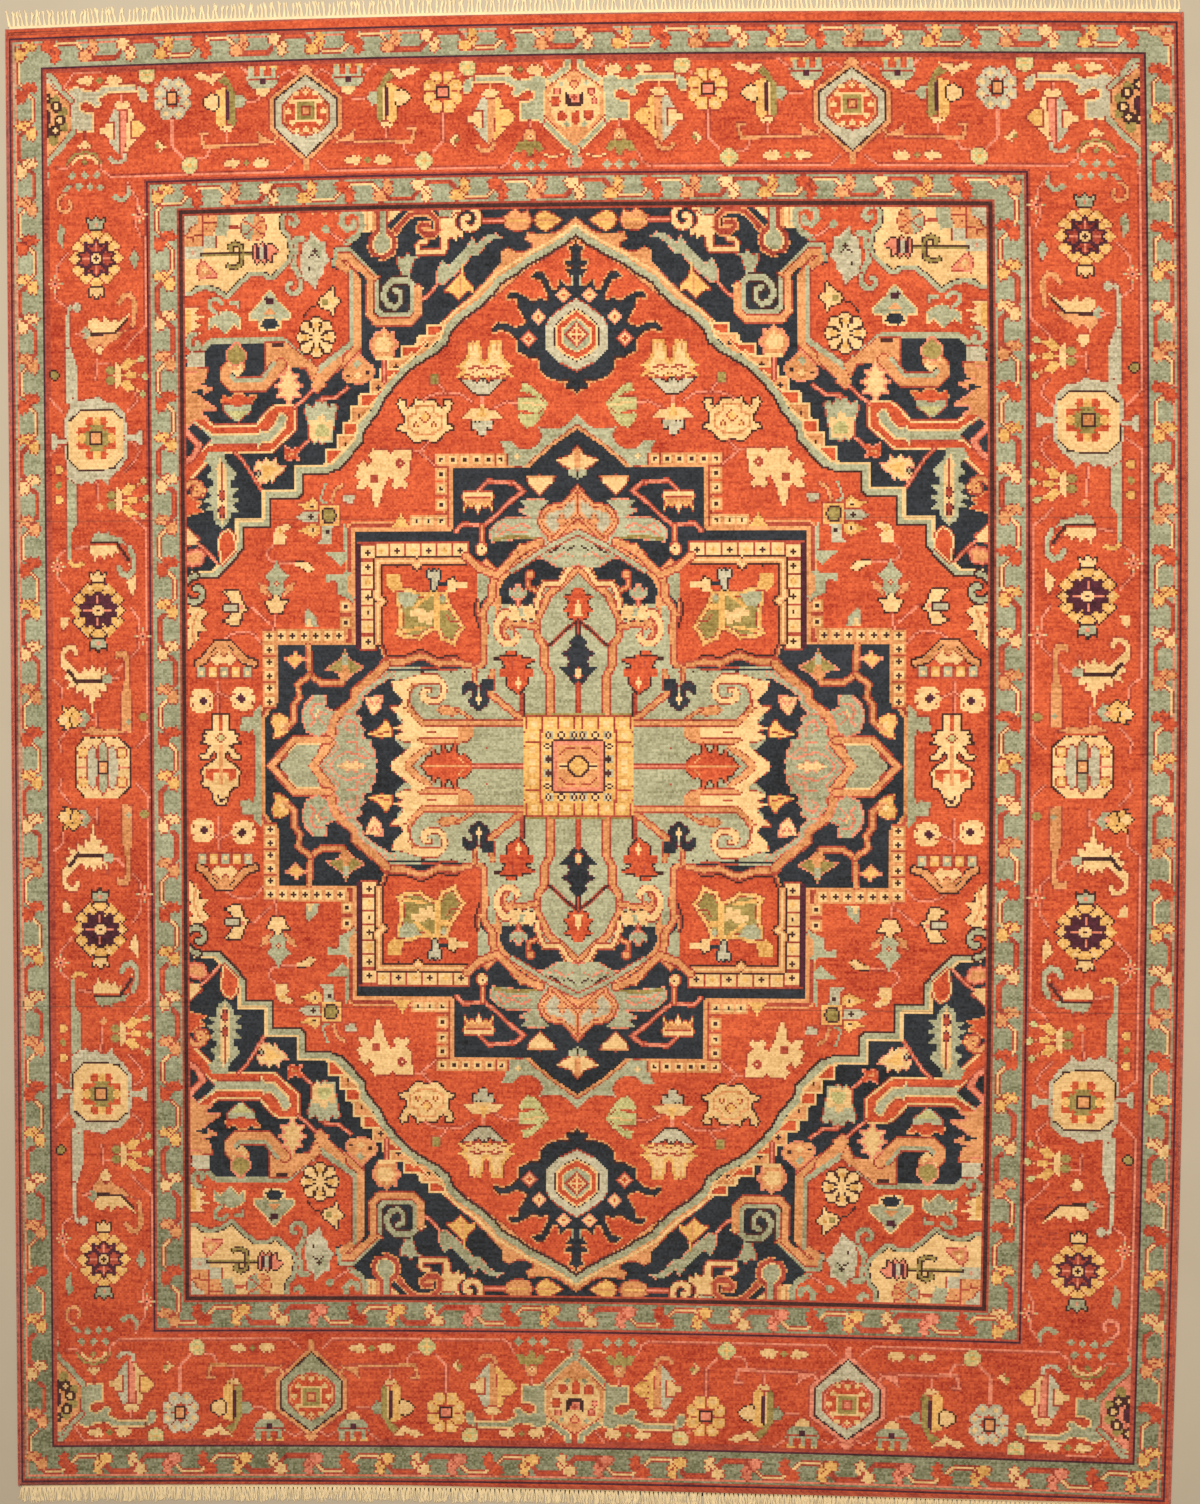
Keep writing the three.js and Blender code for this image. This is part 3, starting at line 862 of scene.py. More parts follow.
# %% Ivory corner
ARROW_FLOWER = """
area brown 0.9 rose 0 | 151,254 154,252.6 154.4,249.4 156.6,251 158,248.6 160,250.4 162,248.8 163.4,251 \
164.4,253.6 163,257.4 160.8,257 159,258.4 157,256.4 154.4,258
rope plum 0.6 | 157.6,251 157.6,257
rope sky 0.7 | 159.6,250.6 159.6,256.6
rope plum 0.7 | 161.6,250.6 161.6,256.6
rope brown 1.4 olive 0.5 | 164.6,253.4 190,253.4
rope brown 1.5 olive 0.8 | 169.6,254 170,257 173,258.6 176.4,257 175,254.8 / 169.6,252.6 170,248.6 \
173,246.6 177,247.6
"""
CORNER_ROSETTE = """
disc rust 6.8 apricot 6.2 | 163.6,266
area sage 0 | 163,266 169,268 169,262 165,260 / 164,268 169,270 165,273 163,272
gem madder 1.4 | 160.6,266
rope rust 0.4 | 158,270 169,262 / 158,262 169,270
rope rust 0.9 | 170,266 175.6,266.4
"""
work("""
area rust 3.4 sage 2.8 brown 0.7 ivory 0 | 146,278 151,270 150,264 147,260 145.6,254 147,250 151,246 \
155,243 158,244.8 166,245 170,242 174,238.6 178,234.6 182,237.4 188,239 194,238.6 197,236 204,236 204,278
area sage 0 | 176,278 176,268 178,262 183,263 183,278
area rust 0.5 apricot 0 | 182.6,278 182.6,269 185,263 190.4,263 190.4,278
rope rust 0.5 | 183,269 190,269
disc rust 0.8 | 187,272.6 188,266
area rust 0.5 sky 0 | 183.4,262 190.4,262 190.4,257 183.4,257
area rust 0.6 apricot 0 | 190.6,278 190.6,258 203,258 203,278
area rust 0.8 sky 0 | 192.6,278 193,269 196,267.4 200.4,262 203,262 203,278
rope rust 0.5 | 191,263 198,262
disc rust 0.8 | 195,260.6
area rust 0.5 sky 0 | 190,251.6 203,251.6 203,257 190,257
disc rose 1 | 195,254.4
area rust 0.6 rose 0 apricot -1 | 182.6,242.6 187,248 190.6,250.6 193,247 192,241.6
disc ivory 1.2 | 189,246
""")
work(ARROW_FLOWER)
work(CORNER_ROSETTE)
work("""
area rust 0.4 ivory 0 | 199.6,228 192,227.6 195.4,224.6 190,223 195,220.8 190.6,218.6 195,216.8 191,214.6 \
199.6,213
area gold 0 | 196.4,226 199,226 199,215 196.4,216
curl rust 1.9 sage 1.3 | 194.6,210 4.6,1.4 90,-200
area rust 0.5 sky 0 | 190,205.6 196,206 199,203 198,199 190,198.6
area rust 0.6 apricot 0 | 188,197.6 199.6,198.4 199.6,193 194,193 189,194.6
""")

# %% Spandrel, lower part
GREEN_TULIP = """
area rust 0.5 sage 0 ivory -5 | 121,178.4 124,179.4 125,177 127,180.6 132,180.6 133.6,177.4 137,179.4 \
137.8,176 136,170 135.6,163 133,160 131,161.6 129,159.6 127,161 124,161 123.6,166 122.4,172 122.2,174.6
area ivory 0 | 123.4,171 136,171 135.4,163 133,161 131,162.6 129,160.6 127,162 124.6,162
area lime 0 | 126,164 132.6,164 132.6,167 131,169.4 128.6,170 126,167.6
rope rust 0.4 | 129.4,177 129.4,179
"""
IVORY_BUD = """
area rose 0.9 ivory 0 | 146,198 147.6,194 151,193.6 148.6,190.6 152.4,188.6 149.4,186.6 152,183.4 \
148,183.6 146,180 144,183.6 140,183.4 142.8,186.6 139.6,188.6 143.4,190.6 141,193.6 144.4,194
"""
EMBER = """
area rose 0.7 madder 0 apricot -1.4 | 139.4,158.6 142,158 145,156.4 148,158.6 148,155 147,152 144,153 \
141.4,152.4 142.4,155
"""
OAK_LEAF = """
area rose 0.6 ivory 0 | 148.4,148.6 152.4,149.6 153,152.6 155.6,150.6 158,153 160,150.6 162.4,151.8 \
164.4,147.6 160.4,147 160.6,144.4 164.8,144 163.6,141 162,139.2 160.4,141.6 158,141 156,143 154.6,141.2 \
153.4,144 150.4,145.6
area gold 0 | 151,147.6 156,149 160,149 159,143 156,145
gem brown 1.9 sage 1 | 162,145.4
"""
CAPPED_FLOWER = """
area apricot 0.6 madder 0 | 163,183.8 165.4,184 167,182.4 170,184.4 174,184.4 176.4,182.4 180,184.2 \
180.6,181 177.4,180 172,179 166,180
area rust 0.6 sage 0 | 165.6,180 166,176.4 169,174.2 171.6,171.4 174,172 177,174.6 179.6,176.6 179.6,180 \
172,178.6
area lime 0 | 167,176.4 178,176.4 174,173 171.6,172.2
"""
PINE_LEAF = """
area sage 0 | 181,118.4 178,121.6 176.4,124 176.4,127 172.6,126.6 176,130 171.6,132.4 176.4,134.6 \
172.6,138 177,138.4 177,142 175,143 173.4,145.4 175.4,147.8 178.6,150.8 180,156 188,156 190,152 187,150 \
186,147 189.4,143.6 186,143 185.6,139.4 189.6,138.4 186,135 191.4,132.2 186,130.6 190,127.4 185.8,127.4 \
185.4,123.6 184,121
area ivory 0 | 181,121 178.6,124 178.6,148 182,153 184,148 183.6,124
rope rust 0.5 | 181,151 181,138
area plum 0.5 rust 0 | 181,138 179.4,135.4 180.4,132.4 181.6,132.4 182.8,135.4 / 181,130 179.4,127.6 \
180.4,124 181.6,124 182.8,127.6
"""
FLAME = """
area rust 1.6 ivory 1 madder 0 | 178,117 175.6,115 174.8,111 175,108 181,101.6 182,108 182,113 180.6,116
"""
work("""
area rust 0.8 ivory 0.2 madder -0.8 | 142.4,178.8 153.8,178.8 157.4,176 163,169.6 185,169.6 190,173 \
204,183 204,140 202,134 199,141 190,150 184,156 155,156 142.4,167
area rust 0.5 ivory 0 sage -0.8 | 146.4,173 148.8,175.6 151.4,175 153.4,170.4 157,166.6 161,167 162,165.2 \
185,165 190,168.4 199,175 199,170 190,163 190,160 199,152 199,150 188,159.6 184,160.2 163,160.2 162,158 \
160,160.2 155,161 148,168
area rust 0.6 navy 0 | 186.6,162.6 191,167 196,170.4 204,170.6 204,147 200,149 194,155
rope rust 1.8 rose 1.2 | 204,172 196,163 192.6,160 196,154 204,148
area rose 0.7 apricot 0 | 204,196 189,195 190,191 194,190 186,187.4 193,184.4 190,181.6 184,177.6 \
190,177.6 192,175 188,172.6 194,173 197,170.4 201,168 200.6,196
rope apricot 1.3 | 198,193 198.6,186 197,180
area navy 0 | 200.4,200 204,200 204,170 200.4,170 / 191,187.8 196,186 191,184
""")
work(GREEN_TULIP)
work(IVORY_BUD)
work(EMBER)
work(OAK_LEAF)
work(CAPPED_FLOWER)
work(PINE_LEAF)
work(FLAME)
work("""
rope rust 1 rose 0.5 | 116,187 122,182.4 129,182.4 129,181 / 133,186.6 140,180.4 143,178 / 136,161.4 \
140,158 / 161,138 165.4,145 170,152 174,156 / 183.6,101 190,108 196,113
area rust 0.8 ivory 0 | 199,118.6 193.4,113.4 195,111 200,110.6 200.4,114
area rust 0.8 rose 0 apricot -1.2 | 190,106.4 194,108.4 200,106.6 201,102 197,99.6 192,101
""")
work("""
area rust 0.9 gold 0 | 189.6,138 193,140 196,138.6 197.4,134.8 194,133.6 190.4,135
area apricot 0.7 madder 0 | 204,134 199,135 196.4,132.6 192,131.4 195,129.6 191.6,127 197,126 204,123.4
curl rust 1.9 apricot 1.2 | 195,137.4 5,1.4 20,300
""")
print("corner done")

# %% [markdown]
# Now the charted quarter is flipped to the left, and the upper half downwards.

# %% Four quarters
quarter = chart[MIDDLE_ROW:, MIDDLE_COLUMN:].copy()
chart[MIDDLE_ROW:, :MIDDLE_COLUMN + 1] = quarter[:, ::-1]
chart[:MIDDLE_ROW + 1] = chart[MIDDLE_ROW:][::-1].copy()
print("quarter", quarter.shape[1], "by", quarter.shape[0], "knots")

# %% [markdown]
# The long palm at mid-height of each side spans both halves, so it is laid after
# the mirroring.

# %% Palms
PALM = """
half brown 1 ivory 0 | 0,25.4 4.4,25.4 4.2,19.6 3.6,18 7.6,17.6 7,15.6 9.4,15.4 7.6,13.4 9.8,11.4 5,10.8 \
4.4,9.6 6.4,8.6 8,5.4 10.4,5 10,3 6.6,3.4 4.4,6.6 3,7.6 2.2,6 2.4,3.4 5,1.4 8,-0.4 10,-3 8.6,-7 9.6,-8.6 \
8.6,-10.6 6.6,-10.4 5,-12.6 4,-13.6 3.4,-17 2,-19.6 0,-19.8
half apricot 0.6 madder 0 | 7.6,-2 7.8,-6 4.4,-7.6 4,-3.4
rope rust 1.2 madder 0.8 | 0,24 0,19
gem rust 2.8 lime 2.2 | 0,14
rope apricot 0.6 | 0,10 0,-9
disc apricot 1.2 | 0,-8.6
rope brown 0.5 | -3.6,-15.6 0,-18 1.6,-15
"""
for side in (-1, 1):
    work(PALM, f"{side * 182.6},0", flip=side)
print("two palms")

# %% [markdown]
# ## Borders
# Dark lines part the bands. Working outwards from the field they are an inner
# guard, the wide main border, an outer guard and a plain red edge, the usual
# frame of a village rug.

# %% Bands and their lines
INNER = (202, 202, 273, 275)
MAIN = (219, 219, 289, 290)
OUTER = (274, 275, 348, 348)
EDGE = (291, 290, 366, 363)


def beyond(sizes):
    """Which knots lie outside a rectangle: its left, right, low and high reach."""
    y, x = np.mgrid[0:ROWS, 0:COLUMNS]
    x, y = x - MIDDLE_COLUMN, y - MIDDLE_ROW
    left, right, low, high = sizes
    return (x <= -left) | (x >= right) | (y <= -low) | (y >= high)


def grown(sizes, more):
    """A rectangle that reaches a little further on every side."""
    return tuple(size + more for size in sizes)


def frame_lines(stripes_of):
    """Lays each line's stripes, from this far to that far outside it."""
    for line, stripes in stripes_of:
        for yarn, low, high in stripes:
            chart[beyond(grown(line, low)) & ~beyond(grown(line, high))] = DYES.index(yarn)


frame_lines((
    (INNER, (("rust", -2, -1), ("brown", -1, 1), ("rust", 1, 2), ("willow", 2, 17))),
    (MAIN, (("rust", -1, 0), ("plum", 0, 1), ("rust", 1, 2), ("madder", 2, 60))),
))
print("plain edge", ROWS // 2 - EDGE[2], "knots wide at the bottom")
# %% [markdown]
# ## Main border
# Cartouches, rosettes and curled leaves stand in a row on madder, joined by thin
# stems. Each quarter of the border repeats the others, but it was woven from
# memory, so nothing falls in quite the same place twice, and the bottom of the
# rug has some pinker wool where the top has apricot.

# %% Flowers of the long sides
OCTAGON = """
area rust 0.6 sage 0 | 241,147 243,149 246,150 249,147.6 252,148.6 255,147 258,148 262,150.6 263,160 \
264,170 263.6,179 261,184 260,190 255,188.4 250,189.6 245,190.6 242,188 237,187 232,182 230.6,176 \
230.6,160 235,154 240,150
area brown 0.9 ivory 0 | 238.4,183.4 255,183.4 261,178 261.2,160 255.6,154 238,155.2 233,161 233,179
disc madder 2.5 | 249.9,178 243.3,178 238.6,173.3 238.6,166.7 243.3,162 249.9,162 254.6,166.7 254.6,173.3
disc olive 7 | 246.6,170
disc gold 2.2 | 246.6,178.2 246.6,161.8 238.4,170 254.8,170
gem madder 1.6 | 251.4,174.8 241.8,174.8 251.4,165.2 241.8,165.2
block brown 3.4 apricot 2.5 | 246.8,170
rope rust 1.6 sage 1.1 | 231,170 223.4,170
rope rust 2 sage 1.5 | 223.6,172.4 223.6,167.6
rope rust 1.6 sage 1.1 | 263,168.6 270,168.6
rope rust 2 sage 1.5 | 269.4,166 269.4,171.4
"""
ROSETTE = """
disc gold 10.4 | 0,0
gem rust 4.7 gold 3.9 | -9.4,5.4 -10.6,0 -9.4,-5.4 9.4,5.4 10.6,0 9.4,-5.4 -5.4,9.4 5.4,9.4 -5.4,-9.4 \
5.4,-9.4 0,12 0,-12
gem ivory 1.2 | -10.4,5.4 -11,-0.4 -10.4,-6.4 10.4,5.4 11,-0.4 10.4,-6.4 -5,10.2 4.6,10.6 -4.6,-11 4.4,-11
area plum 1.4 rust 0 | 0,8.6 2,5 5.6,7 5.4,3 8.8,2 7,0 8.8,-2.4 5.4,-3.4 5.6,-7 2,-5.4 0,-8.6 -2,-5.4 \
-5.6,-7 -5.4,-3.4 -8.8,-2.4 -7,0 -8.8,2 -5.4,3 -5.6,7 -2,5
rope plum 0.8 | 5.6,5.6 -5.6,-5.6 / 5.6,-5.6 -5.6,5.6
rope rose 0.5 | 0,7 0,-7 / 7,0 -7,0
disc plum 3.4 ivory 2.8 | 0,0
gem brown 1.2 | 0,0
area brown 0.9 sage 0 | -3.4,14.8 -4.4,19.4 -2.2,18 0,20.4 2.2,18 4.4,19.4 3.4,14.8
area brown 0.9 ivory 0 | -3.2,-14.6 -4,-18.6 -2,-17.4 0,-19.8 2,-17.4 4,-18.6 3.2,-14.6
gem rose 1.2 | 0,16.6
"""
LOW_LEAF = """
area rust 0.7 ivory 0 | 242,54.6 245,49 246,52 248,50.4 250,53.6 251.6,50 254,52.4 255.6,49 258,50.4 \
261,53.6 264.6,56.6 264,60 261.6,61.6 260,60.4 258.6,58 257,60.4 259,63.4 262,63.8 265.6,62 267,57.6 \
266.4,53 263,49 265.6,47.4 261.6,45.6 263,42 258.4,43.4 258.6,39 254.8,41.6 254.6,36.8 251.8,39 250,30 \
248.4,38 245.2,37 246.4,41.2 241.8,40.2 243.6,44.8
rope brown 1 | 243.6,45.2 258,45 262.4,50.4
area rust 0.5 sage 0 | 239,46.6 241,49.4 245,47.6 244,44.6 240.4,44.2
rope rust 0.9 rose 0.4 | 239,46.6 235.4,47
"""
FAR_LEAF = """
area rust 0.6 sage 0 | 228.6,116.6 232,118.4 234,121.4 240,122.4 241,124.4 244,123 246,124.6 248,123 \
249.6,120 236.6,119.2
rope rust 1.9 sage 1.4 | 229.6,116 227.6,112 227.4,105.4 230,102 233.4,103 235.6,106.4
area rust 0.5 ivory 0 | 230,108 234.6,113 237,117 250.4,117.6 251,114.4 249,112.6 248,109.4 245.6,113.6 \
243,110.8 241.4,114 239,111.6 237.4,114.4 233.4,112.4
rope brown 0.8 | 230.4,110.4 236.4,118.8 250,119
rope rust 1 rose 0.5 | 252,117 258,116
"""
HIGH_LEAF = """
area rust 0.6 apricot 0 | 226.6,224 231,223 236,218.4 240,217 242,215 245,217 248,213 251,216.6 253,221 \
249,222.4 236,222
rope rust 1.6 apricot 1.1 | 227,226 226,232 226,237.4 228.4,241 231.6,240 234,237
area rust 0.5 ivory 0 | 228.4,231.6 232,229 234.6,227.4 236.6,229.6 237.4,226.6 240,228.4 242,230 \
243.4,226.4 246.6,230 250,228 250.4,224.4 247,222 237,222.4 233,226
area rust 0.4 sage 0 | 248,222 252,225 255,222 252.6,218.6
rope brown 0.7 | 230,229 236.4,221.8 249,221.6
rope rust 1 rose 0.5 | 253,221.4 257,221.6
"""
LONG_BAR = """
area rust 0.5 sage 0 | 257.4,152 257.4,128 259,126.6 260.6,124 260.8,109 262.6,109 262.6,152
rope rust 1.6 gold 1.1 | 261.4,109 258.6,107.4 255,108.4
"""
HIGH_BAR = """
area rust 0.6 sage 0 | 256.8,188 256.8,206 259,212 260.6,218 262.4,218 262.8,188
rope rust 1.4 sage 0.9 | 261.4,216 261.2,228 261,234 258.6,237
disc rust 3 sage 2.3 | 256.8,235
"""
APRICOT_BAR = """
area rust 0.7 apricot 0 | 229.4,20 229.6,35 230.4,47 230.6,57 231.6,60 234,60.8 237,60 237.6,56.6 \
236.4,57.4 234,57.6 232.4,55 232.6,47 234.6,38 234.6,20
gem sage 1.6 | 231,24.6
"""
LYING_PALMETTE = """
area rust 0.6 sage 0 | 250.6,27.4 253,29 254,31 257.4,30.8 257.4,22.4 254,22.6 252.6,25
area brown 0.6 gold 0 | 256,29 258.4,31 260.6,33.4 262.4,30.6 266.4,33 264.6,29.6 267,28 268.8,26 \
266.6,23.4 264,23.6 265.6,20.8 261,22.6 258.6,22.4 256.6,24.6
gem ivory 3 | 265.6,26
gem rose 1.8 ivory 0.8 | 256.4,26.4
rope brown 0.4 | 261,29 262.4,26 261,23.4
rope rust 0.9 rose 0.5 | 247.6,29.4 247.6,21.4 / 247.6,26 251,26.6
"""
FAN = """
rope rust 1 apricot 0.6 | 229,206 224,208.6 / 229,201 221,200.4 / 229,196 223,192
area rust 0.5 gold 0 | 226,208 230,209.6 233.4,206 232.6,203.4 229,204.2 / 225.4,202.2 229,203 232.4,201.2 \
229,199.2 225.4,200 / 226,194.4 230,192.6 233.4,196.4 232.6,199 229,198.2
area rust 0.5 ivory 0 | 233.6,205.6 236,207 236.4,203.6 237.8,201 236.4,198.4 236,195 233.6,196.6 233,201
disc rust 2.9 olive 2.3 | 239,203.6 239,198.4
disc rust 2.3 lime 1.7 | 222.6,208.8 220.9,200.4 222,191.6
"""
SIDE_BITS = """
rope rust 0.4 | 220.4,18 220.4,219
rope rose 0.5 | 221.2,17 221.2,119
rope rust 0.9 rose 0.5 | 221.2,119 226,122.4 230,127 / 232,147 226,153 224.4,157 226,160.6 231,163.6 / \
230,177.4 224.8,182 226,187 228.4,189.4 / 231,208.4 226.6,213.4 220.4,219 220.4,263 / 220.4,16 227,9 / \
271.8,44 271.8,156 264.6,161.4 / 264.6,177 271.8,184.6 271.8,290 / 271.8,44 266.4,39.6 266.4,34 / 262,19.4 \
268,12 266.6,7 / 229,79.4 225,73.4 225.4,58.4 231,53 238,46.8 / 246.8,147 246,133 / 246.6,193 246,203 / \
262,110 267.6,105 267.6,94 261.6,87 / 239.6,201 245,201 / 262,229 268,234 266.6,250 261,256
gem rust 2.8 apricot 2 | 245.4,129.6
gem rust 2.8 ivory 2 | 244.6,209.4
area rust 0.5 ivory 0 | 244.6,204.6 242,209 242.6,211.6 247.4,211.6 247.4,208.4
disc rust 2.9 gold 2.2 | 266.8,148.4 266.8,133.4
disc olive 1.7 | 266.8,140.6 268.6,195.6
disc brown 2.8 olive 2 | 268.6,195.6
disc rust 2.8 olive 2.2 | 223,24.4
area rust 0.6 ivory 0 | 227,97 229,94.4 231.2,92.6 230.6,89.4 228.4,85 226.6,89 226.4,92 / 262,74 266,74 \
266.2,70.6 265.6,67.8 263,71
area rust 0.6 sage 0 | 226.4,257.6 227.4,254 228.8,252.4 225.4,246.8 224.6,250.6 223.4,253 / 264,259 \
263,264.6 263,268 265,270 266.4,266.6 266,262
"""
STARLET = """
disc rose 3 | 0,0
disc madder 0.8 | 1.6,1.6 -1.6,1.6 1.6,-1.6 -1.6,-1.6
gem ivory 0.8 | 3,0 -3,0 0,3 0,-3 2.4,2.4 -2.4,-2.4 -2.4,2.4 2.4,-2.4
gem sage 0.8 | 4,0 -4,0 0,4 0,-4
gem brown 0.8 | 0,0
"""

# %% Flowers of the ends
CARTOUCHE_WING = """
rope rust 2.4 ivory 1.9 sage 1.2 | 3,345.4 3.6,341.4 10,336.6 14.6,334 / 14.6,334 15.8,328 16,316.4 \
9.6,309.4 3,303.6 -1,301
area rust 1.4 ivory 0.9 sage 0 | 14.6,336 17,337.4 20.6,337 22.6,335.4 28.4,335 33,337.6 51,337.6 51,335.4 \
34.4,335 30.6,333 29,331 31,329.2 28.6,328 26.4,330 23.6,331.6 20,330.2 19,328 20.6,325.8 23.4,324.6 \
26.4,325 26.2,316.4 18,316.6 16,315
area rust 1 ivory 0.5 sage 0 | 50.4,337.4 54,336 55.8,333 54.6,329.8 51.6,331 51.4,334.4
rope rust 0.9 rose 0.5 | 22.4,315.6 22.4,310.6
"""
CENTRE = """
half rust 0.6 apricot 0 | 0,340.6 14,331.4 14.4,318 8,311 0,303
area ivory 0 | -8,335 -4,336 -2.6,333 2.4,333 4,336 8,335 11,331.6 13,328 12,323 11.4,319 9,314.4 5,312 \
2,312.6 0,314.4 -3,312.2 -7,312 -9.6,315 -12,319 -12.6,324 -13,329 -11,332
disc rust 2.4 apricot 1.6 | 0,333.4
disc rust 2 rose 1.2 | -8.5,329.8 8.4,330 -10,325.2
disc rust 2.6 madder 2 | 9.4,325 -7,318.4 6.4,317.6
area madder 0 | -2.4,320 -2.4,315 -0.4,313.4 1.8,315 1.8,320
gem sage 1.6 | -4.8,313.6 3.8,313.6 -6,334 6.4,333.6
area brown 0 | -4.6,329.4 -2.8,328.6 2.8,328.6 4.6,329.4 4.4,324.6 3,322.4 -3.6,322.4 -4.4,324.8
area rose 0 | -2.6,328.8 2.6,328.8 1.6,324.6 -2,324.6
gem rust 1.2 | 0,326.8
disc rust 3.8 rose 3.3 sage 2.7 | -1,295.4
rope sage 1.2 | -0.4,302 -0.8,297
"""
LAMP = """
area rust 0.7 apricot 0 | -4.6,10.6 -1,10.6 0.6,4 0.6,-8 -1.6,-14 -3,-9.4 -7,-5 -7,4.4
area rust 0.4 rose 0 | -2.6,10.4 1,10.4 1,-12 -0.6,-12 -1.6,-6
area rust 0.4 sky 0 | 1.4,10.6 4.6,10 8,3.6 8,-4 4.6,-9 1.6,-12
area rust 0.8 gold 0 | -5,4.2 -9,4.4 -12,1.6 -12,-0.6 -8,-3.8 -5,-4
area rust 0.8 ivory 0 | 4.6,4 8.4,3.8 8.6,1.4 11.6,1 11.6,-1.4 8.6,-2 6.6,-4.2 4.6,-4
area rust 0.7 ivory 0 | -4.6,12.6 -2.6,14 2.4,14 4.6,12.4 2.4,10.6 -2.4,10.6
rope rust 0.9 rose 0.5 | 0,14 0,17
rope rust 1.5 olive 0.9 | -1.4,-12 -1,-14.4 2,-16 5,-15.4 6.6,-13.6
"""
SQUARE_ROSETTE = """
disc rust 3.8 gold 3.3 | -3,6.8 3.4,6.8 -6.2,2.8 6.6,2.8 -6.2,-3 6.6,-3 -3,-7.2 3.4,-7.2
gem ivory 1.6 | -3,7.4 3.4,7.4 -6.8,2.8 7.2,2.8 -6.8,-3 7.2,-3 -3,-7.6 3.4,-7.6
block brown 3.3 rose 2.3 | 0,0
rope rust 1.2 madder 0.6 | 0,-10.6 0,-24
rope rust 0.9 madder 0.5 | 0,-24 5.4,-29.6
"""
NARROW_LAMP = """
area rust 0.6 olive 0 | -3,10 -1,14 2,17 6,15.6 3,13 0.6,11 -0.6,8 -0.6,-8.6 -3.4,-9.6 -5,-6 -4.6,4 -5.6,7
area rust 0.6 gold 0 | 0.4,11 6,8.6 4,5.4 5.4,0 5,-7 3,-9.4 0.6,-8.6
rope plum 0.9 | -0.2,8.4 -0.2,-5
rope ivory 0.4 | -1.4,8 -1.4,-7
area brown 0.8 ivory 0 | 4.4,6 8,7.4 11.4,5 12,2.6 9.6,0.4 6,-0.6 4.4,1.6
area rust 0.5 sage 0 | -10,4 -8,6.6 -5,6.6 -5,0.8 -7.4,0 -10,2.6
area rust 0.5 ivory 0 | -3.6,-8.6 0,-8.2 3,-10 1,-11.6 -2,-11.2
rope rust 0.9 rose 0.5 | 0,-11.6 0,-16
area rust 0.6 ivory 0 | 1,18 7,17.4 7.6,15.8 13,18.4 16.6,17 14,15 10,14 7,12 5,14.6 3,15.6
"""
CROWN_PALMETTE = """
disc rust 2.4 gold 1.8 | -5.6,7 0.2,7.2 6,7
area rust 0.6 sage 0 | -8.6,3 -7,1.6 -5,3 -2.4,1.8 0,3.4 2.4,1.8 5,3 7,1.6 8.6,3 7.6,-1.4 4.6,-3.6 \
-4.6,-3.6 -7,-1.4
rope sage 1 | -5.6,6 -5.6,1 / 0.2,6 0.2,1 / 6,6 6,1
rope rust 0.5 | -7.4,1 7.4,1
block plum 1.3 | 0,0
area rust 0.6 ivory 0 | -3,-3.6 3.6,-3.6 4,-5.4 0.4,-8 -3.4,-5.6
"""
HEXAGON = """
area rust 3.6 apricot 2.7 brown 1 sage 0 | 0,19 15.6,7.4 15.6,-6 0,-20.4 -15.6,-6 -15.6,7.4
area rust 0 | 0,14.6 8,9.4 12,5 12,-4 8.4,-8.6 0,-11 -8,-8.6 -12,-4 -12,5 -8,9.4
area apricot 0.6 madder 0 | 0,13 7.6,8 10.6,4 10.6,-3 7.6,-7.4 0,-9.4 -7.6,-7.4 -10.6,-3 -10.6,4 -7.6,8
disc ivory 1.4 | 0,11 4.8,10.4 -4.8,10.4 7,6.6 -7,6.6 9,1.8 -9,1.8 7,-3.6 -7,-3.6 4.8,-7.8 -4.8,-7.8 \
0,-7.4
block ivory 5.8 olive 4.8 | 0,2
block rust 2.6 apricot 1.8 | 0,2
rope rust 1.3 apricot 0.7 | -14,-10 -20,-14 -54,-14.4 -55.6,-8 -52,-8
area rust 0.6 apricot 0 | -25,-8 -24,-13.6 -16,-14 -14,-15.4 -17,-12.6 -20,-11.6
rope rust 1.3 apricot 0.7 | 14,-10 20,-14 53,-14.4 54.4,-8 51,-8
area rust 0.6 apricot 0 | 25,-8 24,-13.6 16,-14 14,-15.4 17,-12.6 20,-11.6 / -4,21.4 0,25.4 4,21.4 0,20.4 \
/ -1.6,-22 1.6,-22 1.2,-27 -1.2,-27
rope rust 0.9 rose 0.5 | -12,20.4 -8,22 -5,19.6 / 12,20.4 8,22 5,19.6 / -11,-28 -6,-23 / 12,-28 6,-23
"""
OLIVE_PALMETTE = """
area rust 0.7 apricot 0 | -3,4 -2.4,7.6 0,9 2.4,7.6 3.4,4 0,2
area rust 0.6 olive 0 | -7,-1 -5,2 -2,3.4 0,2 2,3.4 5.4,2.4 8,-2 4.6,-2.6 2,-0.6 1.2,-4.6 -1.2,-4.6 \
-2,-0.6 -4.6,-2.6
gem ivory 1.6 rust 0.6 | 0,5
gem sage 2.4 | -6.4,-9 0,-9 7,-9
rope rust 0.9 rose 0.5 | 9,-3 11,-8 15,-10.2
rope rust 0.9 ivory 0.4 | -7,-4 -12,-5.4 -16,-4
"""
VEE_PALMETTE = """
area rust 0.4 ivory 0 | -3,4 -3.4,6 -1,7.4 0,9.6 1,7.4 3.4,6 3,3.6 1.4,5.4 0,4.4 -1.4,5.4
rope rust 1.3 olive 0.6 | -9,-2.6 -5.6,1.4 0,3 5.6,1.4 9,-2.6
rope ivory 0.8 | -6.4,-2.8 -4,0 0,1 4,0 6.4,-2.8
disc rust 2 olive 1.5 | 0,-2.4
gem sage 2.2 | -6.6,-8.6 0,-8.6 6.4,-8.6
rope rust 0.9 rose 0.4 | -8,-4 -11,-5.4 -15,-4.4 / 0,9.6 0,13
"""
